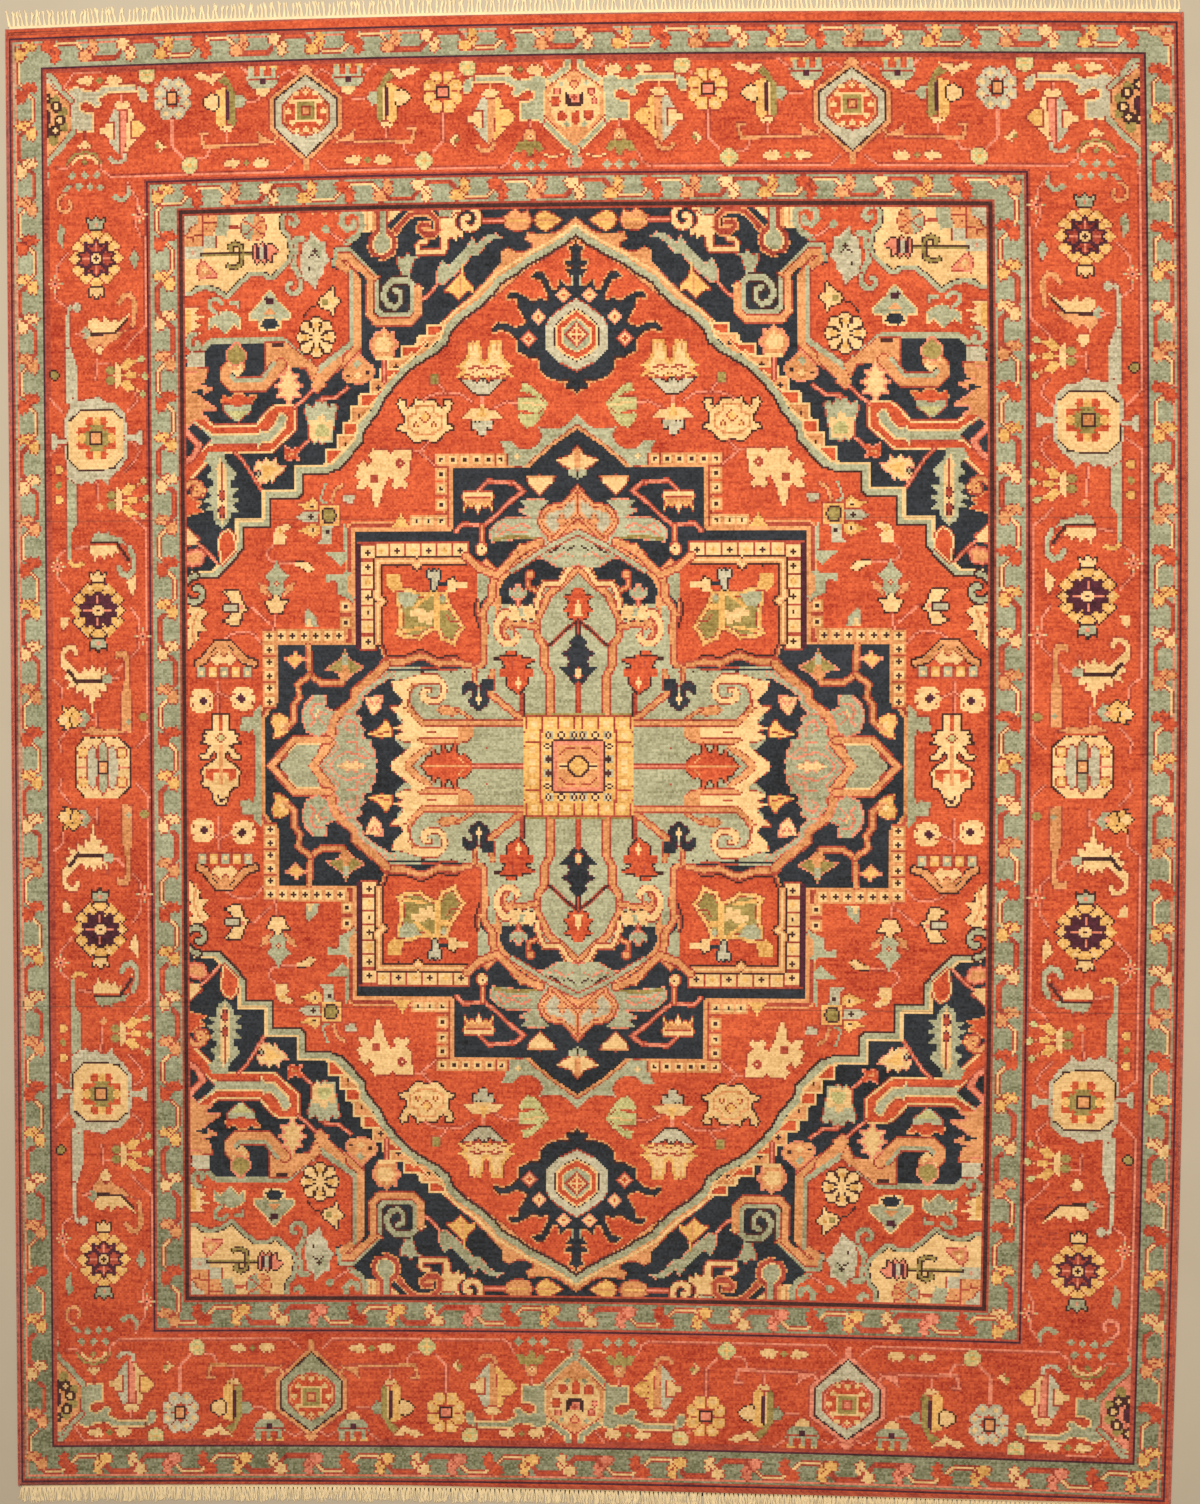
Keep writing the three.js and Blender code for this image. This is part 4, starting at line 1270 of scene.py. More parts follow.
LEAF_PAIR = """
area rust 0.5 ivory 0 | -12,-1.4 -11.2,1.6 -9.8,0.8 -8.8,2.8 -7.4,1.4 -6,2.6 -4.4,1.2 -3.2,-0.8 -5,-2.2 \
-9.6,-2.2 / 3.2,0.8 4.4,2 5.6,1 6.8,2.8 8.2,1.4 9.8,2.2 11.6,0 10.6,-2 8,-1.6 6.4,-2.4 4.4,-1.6
gem rust 2.4 olive 1.6 | 0,0
"""
LIME_ROSETTE = """
disc rust 4.8 lime 4.2 | 0,0
gem ivory 1.4 | 0,2.6 0,-2.6 2.6,0 -2.6,0
gem gold 1.4 | 0,0
gem ivory 0.6 | 2.6,2.6 -2.6,2.6 2.6,-2.6 -2.6,-2.6
"""
SMALL_LEAF = """
area rust 0.5 ivory 0 | -2.4,2 -0.6,3.4 3,0 -0.4,-3.4 0.4,-0.6
gem olive 1.6 | -1.4,0.4
"""
CORNER_FLOWER = """
area rust 0.6 apricot 0 | 274,341 270,340 266,335 259.6,330.6 258.6,318 262,313.6 266,308 270,303.6 \
274,301
rope rust 1.9 sage 1.3 | 257.6,316 264,308.6 270,303 272.6,299.6 272,294 / 258.6,331.6 264,337 268.4,343.6 \
272.6,345
disc olive 2.6 | 266.6,331.6 263,326 262.6,318.6 268,312.4
disc brown 3 | 272,333 266.4,328.8 264.6,322 267,317 272.4,316.4
disc ivory 1.4 | 272,333 266.4,328.8 264.6,322 267,317 272.4,316.4
disc brown 4.4 plum 3.6 | 273.4,323.4
"""
CORNER_BITS = """
rope rust 1.5 sage 1 | 229,289.4 228.6,284.4 231,281.4 234.6,282
disc sage 1.7 | 235.6,283
rope rust 0.8 rose 0.4 | 222.6,263 225.4,270 223.6,281 227.4,286.6 229,290
disc sage 1.7 | 243.6,288 249,288.4 254.6,288.6
area rust 0.5 sage 0 | 256,290 259.4,288.6 262,285.6 264,282.4 264.4,285.6 261.4,289.6
curl rust 1.4 apricot 0.8 | 261.6,280 5.4,2 80,-220
rope rust 0.9 rose 0.5 | 272,294 271,290 / 262.6,337.4 257,345.4 170,346 165.4,342 / 15.6,345.6 100,345.6 \
105.6,341.4 / 15.6,345.6 11,339.6 / 37,293.2 125,293.2 / 148,293.2 238,293.2 242.6,296.6 243.6,299.6 / \
103.6,328.4 112,328.4 / 159.4,330 162,328 168,328.6 / 80,300 84.6,300.6 86.4,305 / 192,300.6 187.6,301.6 \
186,305 / 57,339.4 59.6,336.4 / 214.6,339.4 212,336.4
"""

# %% Every flower in its place
LEFT = (0, -1)
RIGHT = (0, 1)
LOW_LEFT = (180, 1)
LOW_RIGHT = (180, -1)
PINKER = {"apricot": "rose"}
QUARTERS = (
    (RIGHT, (0, 0, 0, 0, 0), {}),
    (LEFT, (-3, -6, -7, -6, -6), {}),
    (LOW_RIGHT, (0, -2, -2, -3, -7), PINKER),
    (LOW_LEFT, (0, -1, -2, -3, -7), {}),
)


def quarter(side, strays, swap):
    """The side and end flowers of one quarter, each group as far off as it strays."""
    turn, flip = side
    up = -1 if turn else 1
    across = flip * up

    def put(motif, x=0, y=0, mirror=1, more=None, over=0):
        work(motif, [(across * x, up * y)], turn + over, flip * mirror, more)

    put(SIDE_BITS)
    low, rosette, far, octagon, high = strays
    for motif in (LOW_LEAF, APRICOT_BAR, LYING_PALMETTE):
        put(motif, 0, low)
    put(ROSETTE, 246.6, 84 + rosette, 1, {"rust": "plum"}, 180)
    put(ROSETTE, 246, 259 + high)
    for motif in (FAR_LEAF, LONG_BAR):
        put(motif, 0, far)
    put(HIGH_LEAF, 0, octagon, 1, {"apricot": "madder"} if swap else None)
    for motif in (HIGH_BAR, OCTAGON, FAN):
        put(motif, 0, octagon, 1, {"sage": "sky"})
    put(FAN, 0, 340 + octagon, -1, None, 180)
    for x, y in ((223, 65), (268, 100), (268, 241), (223, 274)):
        put(STARLET, x, y)
    put(CARTOUCHE_WING)
    put(CARTOUCHE_WING, 274, 0, -1, {"sage": "sage" if turn else "sky"})
    put(CENTRE, 0, 0, 1, swap)
    put(CORNER_FLOWER, 0, 0, 1, swap)
    put(CORNER_BITS, 0, 0, 1, swap)
    put(HEXAGON, 136, 321, 1, {"sage": "sage" if side == LOW_LEFT else "sky", **swap})
    put(LAMP, 42, 317, 1, {"apricot": "gold", "rose": "apricot", "olive": "apricot"})
    put(LAMP, 231.6, 316, 1, {"apricot": "ivory", "olive": "sky"})
    put(SQUARE_ROSETTE, 66, 330.6, 1, {"madder": "rose"})
    put(SQUARE_ROSETTE, 205.4, 331, -1, {"gold": "sky", "rose": "apricot", "madder": "rose"})
    put(NARROW_LAMP, 94.6, 325, -1)
    put(NARROW_LAMP, 177, 325)
    put(CROWN_PALMETTE, 114, 338)
    put(CROWN_PALMETTE, 158, 338)
    put(OLIVE_PALMETTE, 22.4, 303)
    put(VEE_PALMETTE, 251.6, 303, -1)
    put(LEAF_PAIR, 27, 341)
    put(LEAF_PAIR, 243.6, 341)
    put(LEAF_PAIR, 104.6, 298)
    put(LEAF_PAIR, 167, 298)
    for x, y in ((53.4, 342.4), (76, 297), (196.4, 297.6), (218.4, 343)):
        put(LIME_ROSETTE, x, y)
    put(SMALL_LEAF, 60, 306.6)
    put(SMALL_LEAF, 212, 307, -1)


for side, strays, swap in QUARTERS:
    quarter(side, strays, swap)

SIDE_CARTOUCHE = """
area rust 0.6 apricot 0 | 232,17.6 239,19.6 244,18.8 250,20.6 256,17.6 250,16.8 238,16.8
area brown 0.9 ivory 0 | 230.6,9.6 236.4,15 254,15 258.8,9.6 258.8,-9.6 254,-15 236.4,-15 230.6,-9.6
disc rust 3.2 gold 2.6 | 234.6,7.4 255,7.4 234.6,-7.4 255,-7.4
gem ivory 1.4 | 234.6,7.4 255,7.4 234.6,-7.4 255,-7.4
area rust 0.7 sky 0 | 236.6,0 237.4,8 239.6,10.8 241.4,8.6 241.2,4 241.2,-4 241.4,-8.6 239.6,-10.8 \
237.4,-8 / 248,4 248.2,8.6 250.2,10.8 252.2,8 252.8,0 252.2,-8 250.2,-10.8 248.2,-8.6 248,-4
area rust 0.7 sage 0 | 242.4,10 244.6,13.6 246.8,10 246.8,-10 244.6,-13.6 242.4,-10
rope rust 0.9 rose 0.4 | 231.6,0 236,0 / 253,0 258,0
block brown 3 apricot 2 | 244.6,0
gem ivory 1.2 | 244.6,0
"""
work(SIDE_CARTOUCHE, "0,0")
work(SIDE_CARTOUCHE, "0,-1", flip=-1)
print("main border filled")

# %% [markdown]
# In the guards a stem swings from side to side of a willow-green ground, and
# the flowers on it take their colour in turn: ivory, gold, madder, apricot. The
# weaver kept no measure, so the flowers draw apart towards the bottom.

# %% Guards
GUARD_FLOWER = """
area rust 0.5 ivory 0 | 0,2.6 0,-1.6 1.2,-4.4 2.6,-3.2 3.6,-5 4.8,-3.4 5.4,-0.6 4.6,0.8 5,2.6 2.6,1.6 / \
-6,3 -4.6,0.4 -3,1.4 -1,0 0.4,1.6 2.4,3.6 0.8,4.4 -0.6,5.6 -2.2,4.2 -4.2,5.6 -4.4,3.8
rope rust 0.4 | -1.6,3.6 1.6,0.6
"""
PALE_STEM = """
rope rust 1.2 ivory 0.6 | 1,-8 3.8,-5.4 3.8,4.6 0.6,7.6
"""
RED_STEM = """
rope rust 1.3 | 1.4,-8 3.8,-6 3.8,5.6 1.4,7.6
rope madder 0.5 | 3.8,-4.4 3.8,4.4
"""
GUARD_YARNS = ("ivory", "gold", "madder", "apricot")
frame_lines((
    (OUTER, (("rust", -2, 0), ("plum", 0, 1), ("willow", 1, 24))),
    (EDGE, (("rose", -3, -2), ("rust", -1, 0), ("plum", 0, 1), ("madder", 1, 9))),
))
GUARD_REACH = 20
TURNS = {"right": (0, 1), "left": (0, -1), "top": (-90, -1), "bottom": (90, -1)}


def guard(side, middle, corner, pitch, shift, slack=0):
    """One straight guard: flowers at a pitch, between them stems that swing."""
    turn, flip = TURNS[side]
    for i in range(-GUARD_REACH, GUARD_REACH + 1):
        along = i * pitch + shift - i * i * slack
        swing = -flip if i % 2 else flip
        petals = GUARD_YARNS[i % 4]
        if side == "bottom":
            petals = petals.replace("apricot", "rose")
        stem = PALE_STEM if i % 4 in (1, 2) else RED_STEM
        if abs(along + pitch / 2) < corner - 4:
            work(stem, [turned(middle, along + pitch / 2, turn, flip)], turn, swing)
        if abs(along) < corner - 5:
            work(GUARD_FLOWER, [turned(middle, along, turn, flip)], turn, swing, {"ivory": petals})


for middle, corner in ((210, 283), (282.5, 356)):
    guard("right", middle, corner, 20.85, -19.5, 0.056)
    guard("left", middle, corner, 22.1, -29.8, 0.1)
guard("top", 282.5, 210, 19.14, -0.6, 0.036)
guard("top", 356, 283, 19.14, 4.2, 0.03)
guard("bottom", 281, 210, 19.34, -6.5, -0.064)
guard("bottom", 357, 283, 18.7, 3.6)
work(GUARD_FLOWER, "283,356 -283,-356 211,283 -211,-283", swap={"ivory": "apricot"})
work(GUARD_FLOWER, "-283,356 283,-356 -211,283 211,-283", flip=-1, swap={"ivory": "gold"})
print("four guards on each side of the main border")

counts = np.bincount(chart.ravel(), minlength=len(DYES))
print(", ".join(f"{name} {count}" for name, count in zip(DYES, counts)))

# %% [markdown]
# ## From chart to cloth
# A weaver never follows a ruler exactly: the right side of this rug bellies
# out a little, both ends arch the same way, and the warps stand closer on the
# left half. So a knot's place on the floor is worked out from its place in the
# chart by the same few sizes as the solid's outline.

# %% Places
COLUMN_PITCH = 0.00417
ROW_PITCH = 0.004203
RIGHT_BOW = 0.020
END_BOW = 0.016
CROWDING = 0.028
ARCHED = 0.74
EDGE_HEIGHT = 0.0055
ROLL = 0.009
SWELL = 0.0007


def on_rug(s, t):
    """Where the point at these shares, -1 to 1, of the half sizes lies."""
    bow = RIGHT_BOW * (1 - t * t) * (s + 1) / 2
    arch = END_BOW * (1 - s * s) * np.minimum(1, (t / ARCHED) ** 2)
    crowd = CROWDING * (1 - s * s)
    x = s * COLUMNS * COLUMN_PITCH / 2 + bow - crowd
    y = t * ROWS * ROW_PITCH / 2 + arch
    return x, y


def pile_height(s, t):
    """How high the cut pile stands: it rolls over along the rim."""
    from_side = (1 - abs(s)) * COLUMNS * COLUMN_PITCH / 2
    from_end = (1 - abs(t)) * ROWS * ROW_PITCH / 2
    inward = np.minimum(1, np.minimum(from_side, from_end) / ROLL)
    rounded = np.sqrt(1 - (1 - inward) ** 2)
    swell = SWELL * inward * np.sin(5 * s + 2 * t) * np.cos(7 * t - s)
    full = THICKNESS - SWELL
    return EDGE_HEIGHT + (full - EDGE_HEIGHT) * rounded + swell


corner = on_rug(np.array([-1.0, 1.0]), np.array([-1.0, -1.0]))
print("rug is", round(float(corner[0][1] - corner[0][0]), 3), "m wide")

# %% [markdown]
# On a real rug each knot is one tuft of one yarn. A row of like knots makes one
# long face here, in that yarn's own finish, and rows share their corners, so
# the cloth has no gaps. That keeps every stair step of the drawing crisp, at
# any distance, with no picture. Three sections, from the first rows woven to
# the last, keep each mesh at a size that a viewer handles well.

# %% Knots into cloth
STATION = 13
RIM_STATIONS = (0, 1, 2)
ROW_WAVE = 0.00012
SECTIONS = {"lower": (0, 246), "middle": (246, 491), "upper": (491, ROWS)}
WIDE = COLUMNS + 1
LATTICE = (ROWS + 1) * WIDE

rng = np.random.default_rng(7)
changes = np.ones((ROWS, WIDE), bool)
changes[:, 1:-1] = chart[:, 1:] != chart[:, :-1]
marks = np.zeros((ROWS + 1, WIDE), bool)
marks[:-1] |= changes
marks[1:] |= changes
marks[:, ::STATION] = True
for station in RIM_STATIONS:
    marks[:, station] = marks[:, COLUMNS - station] = True
line_marks = [np.nonzero(line)[0] for line in marks]

lattice_j, lattice_i = np.mgrid[0:ROWS + 1, 0:WIDE]
share_s = 2 * lattice_i / COLUMNS - 1
share_t = 2 * lattice_j / ROWS - 1
place_x, place_y = on_rug(share_s, share_t)
wave = rng.uniform(-ROW_WAVE, ROW_WAVE, (ROWS + 1, 1))
place_z = pile_height(share_s, share_t) + wave


def in_scene(name, mesh):
    """The mesh as an object of this name, in the scene."""
    made = bpy.data.objects.new(name, mesh)
    scene.collection.objects.link(made)
    return made


def outline(row, low, high):
    """A face in this row, counterclockwise, as numbers in the lattice."""
    return np.concatenate([low + row * WIDE, high[::-1] + (row + 1) * WIDE])


def run_faces(first, past):
    """The faces of the runs of like knots in these rows, and their yarns."""
    faces, yarns = [], []
    for row in range(first, past):
        cuts = np.nonzero(changes[row])[0]
        for start, end in zip(cuts, cuts[1:]):
            low, high = [
                line[np.searchsorted(line, start):np.searchsorted(line, end) + 1]
                for line in line_marks[row:row + 2]
            ]
            faces.append(outline(row, low, high))
            yarns.append(chart[row, start])
    return faces, yarns


def under_faces(first, past):
    """The plain underside: one face a row, with every corner at the outer rows."""
    sides = np.array([0, COLUMNS])
    faces = []
    for row in range(first, past):
        low = line_marks[row] if row == first else sides
        high = line_marks[row + 1] if row == past - 1 else sides
        faces.append(outline(row, low, high)[::-1] + LATTICE)
    return faces


def rim_walls(faces):
    """Upright faces below each edge that only one face has."""
    ahead = np.concatenate([np.roll(face, -1) for face in faces])
    here = np.concatenate(faces)
    rim = ~np.isin(here * LATTICE + ahead, ahead * LATTICE + here)
    here, ahead = here[rim], ahead[rim]
    return list(np.column_stack([here + LATTICE, ahead + LATTICE, ahead, here]))


def cloth_section(name, first, past):
    """One closed mesh of the knots of these rows."""
    runs, yarns = run_faces(first, past)
    under = under_faces(first, past)
    walls = rim_walls(runs)
    wall_yarns = [chart[min(past - 1, max(first, wall[3] // WIDE)),
                        min(COLUMNS - 1, wall[3] % WIDE)] for wall in walls]
    faces = runs + under + walls
    sizes = np.array([len(face) for face in faces])
    used, loops = np.unique(np.concatenate(faces), return_inverse=True)
    spot, low = used % LATTICE, used >= LATTICE
    points = np.column_stack([
        place_x.flat[spot], place_y.flat[spot], np.where(low, 0, place_z.flat[spot]),
    ])
    mesh = bpy.data.meshes.new(name)
    mesh.vertices.add(len(points))
    mesh.vertices.foreach_set("co", points.astype(np.float32).ravel())
    mesh.loops.add(len(loops))
    mesh.loops.foreach_set("vertex_index", loops.astype(np.int32))
    mesh.polygons.add(len(faces))
    mesh.polygons.foreach_set("loop_start", (np.cumsum(sizes) - sizes).astype(np.int32))
    mesh.polygons.foreach_set(
        "material_index", np.array(yarns + [len(YARNS)] * len(under) + wall_yarns, np.int32)
    )
    mesh.update(calc_edges=True)

    across, up = (share.flat[spot] / 2 + 0.5 for share in (share_s, share_t))
    on_chart = np.column_stack([across, up])[loops]
    on_map = np.column_stack([across, (up * ROWS - first) / (past - first)])[loops]
    underside = np.repeat([False] * len(runs) + [True] * len(under) + [False] * len(walls), sizes)
    on_map[:, 1] = np.where(underside, 0.99 + 0.01 * on_map[:, 1], 0.98 * on_map[:, 1])
    for layer, places in (("chart", on_chart), ("OFBake", on_map)):
        uv = mesh.uv_layers.new(name=layer).uv
        uv.foreach_set("vector", places.astype(np.float32).ravel())
    mesh.uv_layers["chart"].active_render = True
    mesh.validate()
    print(name, len(runs), "runs", int((sizes - 2).sum()), "triangles")
    return in_scene(name, mesh)


pile = [cloth_section(f"pile_{name}", *rows) for name, rows in SECTIONS.items()]

# %% [markdown]
# Under the tufts lies the ground weave: cotton warps and wefts, beaten down
# hard. It is the sheet of cloth that the knots are tied into.

# %% Ground weave
GROUND_LOW = 0.0012
GROUND_HIGH = 0.0034
GROUND_INSET = 0.0015
GROUND_ACROSS = 40
GROUND_ALONG = 50


def shares(count, inset, length):
    """Even shares from -1 to 1 of a length, less this inset at both ends."""
    return np.linspace(-1, 1, count) * (1 - 2 * inset / length)


def slab(name, top, bottom, across, way=1):
    """A closed slab between two grids of points, this many to a row."""
    grid = np.arange(len(top)).reshape(-1, across)
    quads = np.dstack([grid[:-1, :-1], grid[:-1, 1:], grid[1:, 1:], grid[1:, :-1]])
    quads = quads.reshape(-1, 4)[:, ::way]
    rim = np.concatenate([grid[0], grid[1:, -1], grid[-1, -2::-1], grid[-2:0:-1, 0]])[::way]
    ahead = np.roll(rim, -1)
    walls = np.column_stack([rim + len(top), ahead + len(top), ahead, rim])
    faces = np.concatenate([quads, quads[:, ::-1] + len(top), walls])
    mesh = bpy.data.meshes.new(name)
    mesh.from_pydata(np.concatenate([top, bottom]).tolist(), [], faces.tolist())
    return in_scene(name, mesh)


def ground_weave():
    """A thin closed slab inside the knots, with the rug's uneven outline."""
    s, t = np.meshgrid(
        shares(GROUND_ACROSS, GROUND_INSET, COLUMNS * COLUMN_PITCH),
        shares(GROUND_ALONG, GROUND_INSET, ROWS * ROW_PITCH),
    )
    x, y = on_rug(s.ravel(), t.ravel())
    top, bottom = [
        np.column_stack([x, y, np.full(x.shape, z)]) for z in (GROUND_HIGH, GROUND_LOW)
    ]
    return slab("ground_weave", top, bottom, GROUND_ACROSS)


ground = ground_weave()
print("ground weave", len(ground.data.polygons), "faces")

# %% [markdown]
# ## Finishes
# Hand-spun wool takes dye unevenly and each batch differs, and from knot to knot a painted sheen makes some
# tufts paler while painted shade leaves others darker. So each yarn
# wanders between a darker and a paler shade of its own colour: from knot to
# knot, by clumps of a few knots, in short streaks along the rows, by patches,
# and in soft bands where the weaver started a new batch, called abrash. Some yarns are also painted a
# little darker towards the bottom, as painted shade where the light falls off.
# Colours are written as sRGB hex and turned linear here.

# %% Colour and node helpers


def linear(hex_colour, gain=1.0):
    """An sRGB hex colour as linear red, green, blue and alpha."""
    out = []
    for i in (1, 3, 5):
        c = int(hex_colour[i:i + 2], 16) / 255
        c = c / 12.92 if c <= 0.04045 else ((c + 0.055) / 1.055) ** 2.4
        out.append(min(1, c * gain))
    return (*out, 1)


def node(tree, kind, settings=None, **links):
    """Adds a node, with its settings, and links or values for its inputs."""
    made = tree.nodes.new(kind)
    for key, value in (settings or {}).items():
        setattr(made, key, value)
    for key, value in links.items():
        socket = made.inputs[int(key[1:])] if key[1:].isdigit() else made.inputs[key]
        if isinstance(value, bpy.types.NodeSocket):
            tree.links.new(value, socket)
        else:
            socket.default_value = value
    return made


def new_material(name, **surface):
    """A node material with its output and a Principled shader of this surface."""
    material = bpy.data.materials.new(name)
    material.use_nodes = True
    tree = material.node_tree
    tree.nodes.clear()
    shader = tree.nodes.new("ShaderNodeBsdfPrincipled")
    output = tree.nodes.new("ShaderNodeOutputMaterial")
    tree.links.new(shader.outputs[0], output.inputs[0])
    for label, value in surface.items():
        shader.inputs[label.replace("_", " ")].default_value = value
    return material, tree, shader.inputs


def shade(hex_colour, step):
    """The sRGB colour with each channel raised by this much."""
    parts = [int(hex_colour[i:i + 2], 16) + step for i in (1, 3, 5)]
    return "#" + "".join(f"{max(8, min(255, part)):02x}" for part in parts)


print("madder in linear light", [round(c, 3) for c in linear(YARNS[0][1])[:3]])

# %% [markdown]
# Cut wool pile: matt, a little sheen where light grazes the fibre ends, and
# dimpled where one tuft meets the next. IOR 1.55 is that of keratin. The tufts
# are 4.2 mm apart, and their fibres are drawn at about 1 mm, coarser than the
# real ones of a thirtieth of that, so that they show.

# %% Wool
FIBRE = 0.0011
CLUMP = 0.010
STREAK = 0.04
PATCH = 0.09
BATCH = 0.16
# How far each knot's colour drifts: painted sheen makes some tufts paler, painted shade leaves others
# darker.
TUFT_SHEEN_DRIFT = 0.4
SPREAD = 48
SHADES = {"navy": 42, "brown": 38, "plum": 38, "ivory": 36}
# How much darker each yarn is painted towards the bottom: painted shade.
BOTTOM_SHADES = {"willow": 0.2, "sage": 0.1, "navy": 0.1, "ivory": 0.08, "madder": 0.05}


def wool(name, hex_colour, charted=True, spread=SPREAD, bottom_shade=0.0, seed=0.0):
    """Cut or wrapped wool of one dye, tuft by tuft where it is charted."""
    material, tree, surface = new_material(
        name, Roughness=0.95, IOR=1.55, Specular_IOR_Level=0.25, Sheen_Weight=0.25,
        Sheen_Roughness=0.5,
    )
    place = node(tree, "ShaderNodeTexCoord").outputs["Object"]
    source, scale = place, (1 / COLUMN_PITCH, 1 / ROW_PITCH, 0)
    if charted:
        source = node(tree, "ShaderNodeUVMap", {"uv_map": "chart"}).outputs[0]
        scale = (COLUMNS, ROWS, 1)
    knots = node(tree, "ShaderNodeVectorMath", {"operation": "MULTIPLY"}, _0=source, _1=scale)
    cell = node(tree, "ShaderNodeVectorMath", {"operation": "FLOOR"}, _0=knots.outputs[0])
    tuft = node(tree, "ShaderNodeTexWhiteNoise", {"noise_dimensions": "4D"},
                Vector=cell.outputs[0], W=seed)
    batch_place = node(
        tree, "ShaderNodeVectorMath", {"operation": "MULTIPLY_ADD"},
        _0=place, _1=(0.25, 1 / BATCH, 1), _2=(seed, seed, seed),
    ).outputs[0]
    streak_place = node(tree, "ShaderNodeVectorMath", {"operation": "MULTIPLY"},
                        _0=place, _1=(1 / STREAK, 1 / ROW_PITCH, 0)).outputs[0]
    # The first drift, knot by knot, is painted sheen and painted shade on the tufts.
    drifts = [(tuft.outputs["Value"], TUFT_SHEEN_DRIFT)]
    # Each layer's place, scale, detail and roughness, and how far it shifts the shade.
    for where, noise_scale, detail, roughness, amount in (
        (place, 1 / CLUMP, 1.0, 0.5, 0.3),
        (streak_place, 0.6, 2.0, 0.5, 0.65),
        (place, 1 / PATCH, 2.0, 0.5, 0.4),
        (batch_place, 1.0, 3.0, 0.6, 0.6),
        (place, 1 / FIBRE, 2.0, 0.5, 0.15),
    ):
        noise = node(tree, "ShaderNodeTexNoise", Vector=where, Scale=noise_scale,
                     Detail=detail, Roughness=roughness).outputs[0]
        drifts.append((noise, amount))
    fibres = noise

    # Painted shade: each yarn grows darker towards the bottom of the rug.
    height_up = node(tree, "ShaderNodeSeparateXYZ", Vector=place).outputs["Y"]
    below = node(tree, "ShaderNodeMath", {"operation": "MINIMUM"}, _0=height_up, _1=0.0)
    paleness = node(tree, "ShaderNodeMath", {"operation": "MULTIPLY_ADD"},
                    _0=below.outputs[0], _1=bottom_shade, _2=0.5).outputs[0]
    for value, amount in drifts:
        drift = node(tree, "ShaderNodeMath", {"operation": "MULTIPLY_ADD"},
                     _0=value, _1=amount, _2=-amount / 2)
        paleness = node(tree, "ShaderNodeMath", _0=paleness, _1=drift.outputs[0]).outputs[0]
    # The mix of a darker and a paler shade holds the uneven dye and also the painted sheen and painted
    # shade.
    dye = node(tree, "ShaderNodeMix", {"data_type": "RGBA"}, Factor=paleness,
               _6=linear(shade(hex_colour, -spread)), _7=linear(shade(hex_colour, spread)))
    tree.links.new(dye.outputs[2], surface["Base Color"])

    folded = node(tree, "ShaderNodeVectorMath", {"operation": "FRACTION"}, _0=knots.outputs[0])
    dome = node(tree, "ShaderNodeVectorMath", {"operation": "DISTANCE"},
                _0=folded.outputs[0], _1=(0.5, 0.5, 0))
    height = node(tree, "ShaderNodeMath", {"operation": "MULTIPLY_ADD"},
                  _0=dome.outputs["Value"], _1=-1.2, _2=fibres)
    bump = node(tree, "ShaderNodeBump", Height=height.outputs[0],
                Strength=0.5, Distance=0.0009)
    tree.links.new(bump.outputs[0], surface["Normal"])
    return material


dyed = [
    wool(f"cut wool pile, {yarn_name}", hex_colour,
         spread=SHADES.get(yarn_name, SPREAD), bottom_shade=BOTTOM_SHADES.get(yarn_name, 0), seed=1.7 * number)
    for number, (yarn_name, hex_colour) in enumerate(YARNS)
]
print(len(dyed), "dyed yarns")

# %% [markdown]
# Cotton for the ground and the fringe: ivory, spun hard from several plies, so
# fine ridges cross each strand. Its IOR is about 1.53.

# %% Cotton
PLY = 0.0011


def cotton(name, hex_colour):
    """Plied cotton yarn, with soft mottling and its plies as ridges."""
    material, tree, surface = new_material(name, Roughness=0.9, IOR=1.53, Sheen_Weight=0.2)
    place = node(tree, "ShaderNodeTexCoord").outputs["Object"]
    soft = node(tree, "ShaderNodeTexNoise", Vector=place, Scale=60.0, Detail=4.0)
    ramp = node(tree, "ShaderNodeMix", {"data_type": "RGBA"}, Factor=soft.outputs[0],
                _6=linear(hex_colour, 0.72), _7=linear(hex_colour, 1.12))
    tree.links.new(ramp.outputs[2], surface["Base Color"])
    plies = node(tree, "ShaderNodeTexWave", {"bands_direction": "DIAGONAL"},
                 Vector=place, Scale=1 / PLY / 8, Distortion=1.0, Detail=1.0)
    bump = node(tree, "ShaderNodeBump", Height=plies.outputs[0],
                Strength=0.4, Distance=0.0004)
    tree.links.new(bump.outputs[0], surface["Normal"])
    return material


warp_cotton = cotton("plied cotton warp, ivory", "#f2dcae")
weft_cotton = cotton("beaten cotton weft, ivory", "#dcc79c")
ground.data.materials.append(weft_cotton)
for section in pile:
    for finish in (*dyed, weft_cotton):
        section.data.materials.append(finish)
print("the underside is", section.data.materials[-1].name)

# %% [markdown]
# Each side is overcast: the weaver wraps rust red wool round the outermost
# warps, row by row. So the cord is a row of slanted wraps, one for each row of
# knots. A wrap is one small ring, and Geometry Nodes set it along the side.

# %% Overcast selvedges
SELVEDGE = 0.0055
WRAP_YARN = 0.0021
WRAP_SLANT = radians(18)
SIDE_POINTS = 90
GAP = 0.0003


def side_line(side, height):
    """Points of the cord's middle along one side, -1 left and 1 right."""
    x, y = on_rug(np.full(SIDE_POINTS, float(side)), np.linspace(-1, 1, SIDE_POINTS))
    away = side * (SELVEDGE / 2 + GAP)
    return [(px + away, py, height) for px, py in zip(x, y)]


def line_object(name, points):
    """A mesh of edges along these points."""
    mesh = bpy.data.meshes.new(name)
    mesh.from_pydata(points, [(i, i + 1) for i in range(len(points) - 1)], [])
    return in_scene(name, mesh)


def new_tree(name, inputs):
    """A geometry tree and its named inputs, the geometry first."""
    tree = bpy.data.node_groups.new(name, "GeometryNodeTree")
    for label, kind in {"Geometry": "Geometry", **inputs}.items():
        tree.interface.new_socket(label, in_out="INPUT", socket_type=f"NodeSocket{kind}")
    tree.interface.new_socket("Geometry", in_out="OUTPUT", socket_type="NodeSocketGeometry")
    return tree, tree.nodes.new("NodeGroupInput").outputs


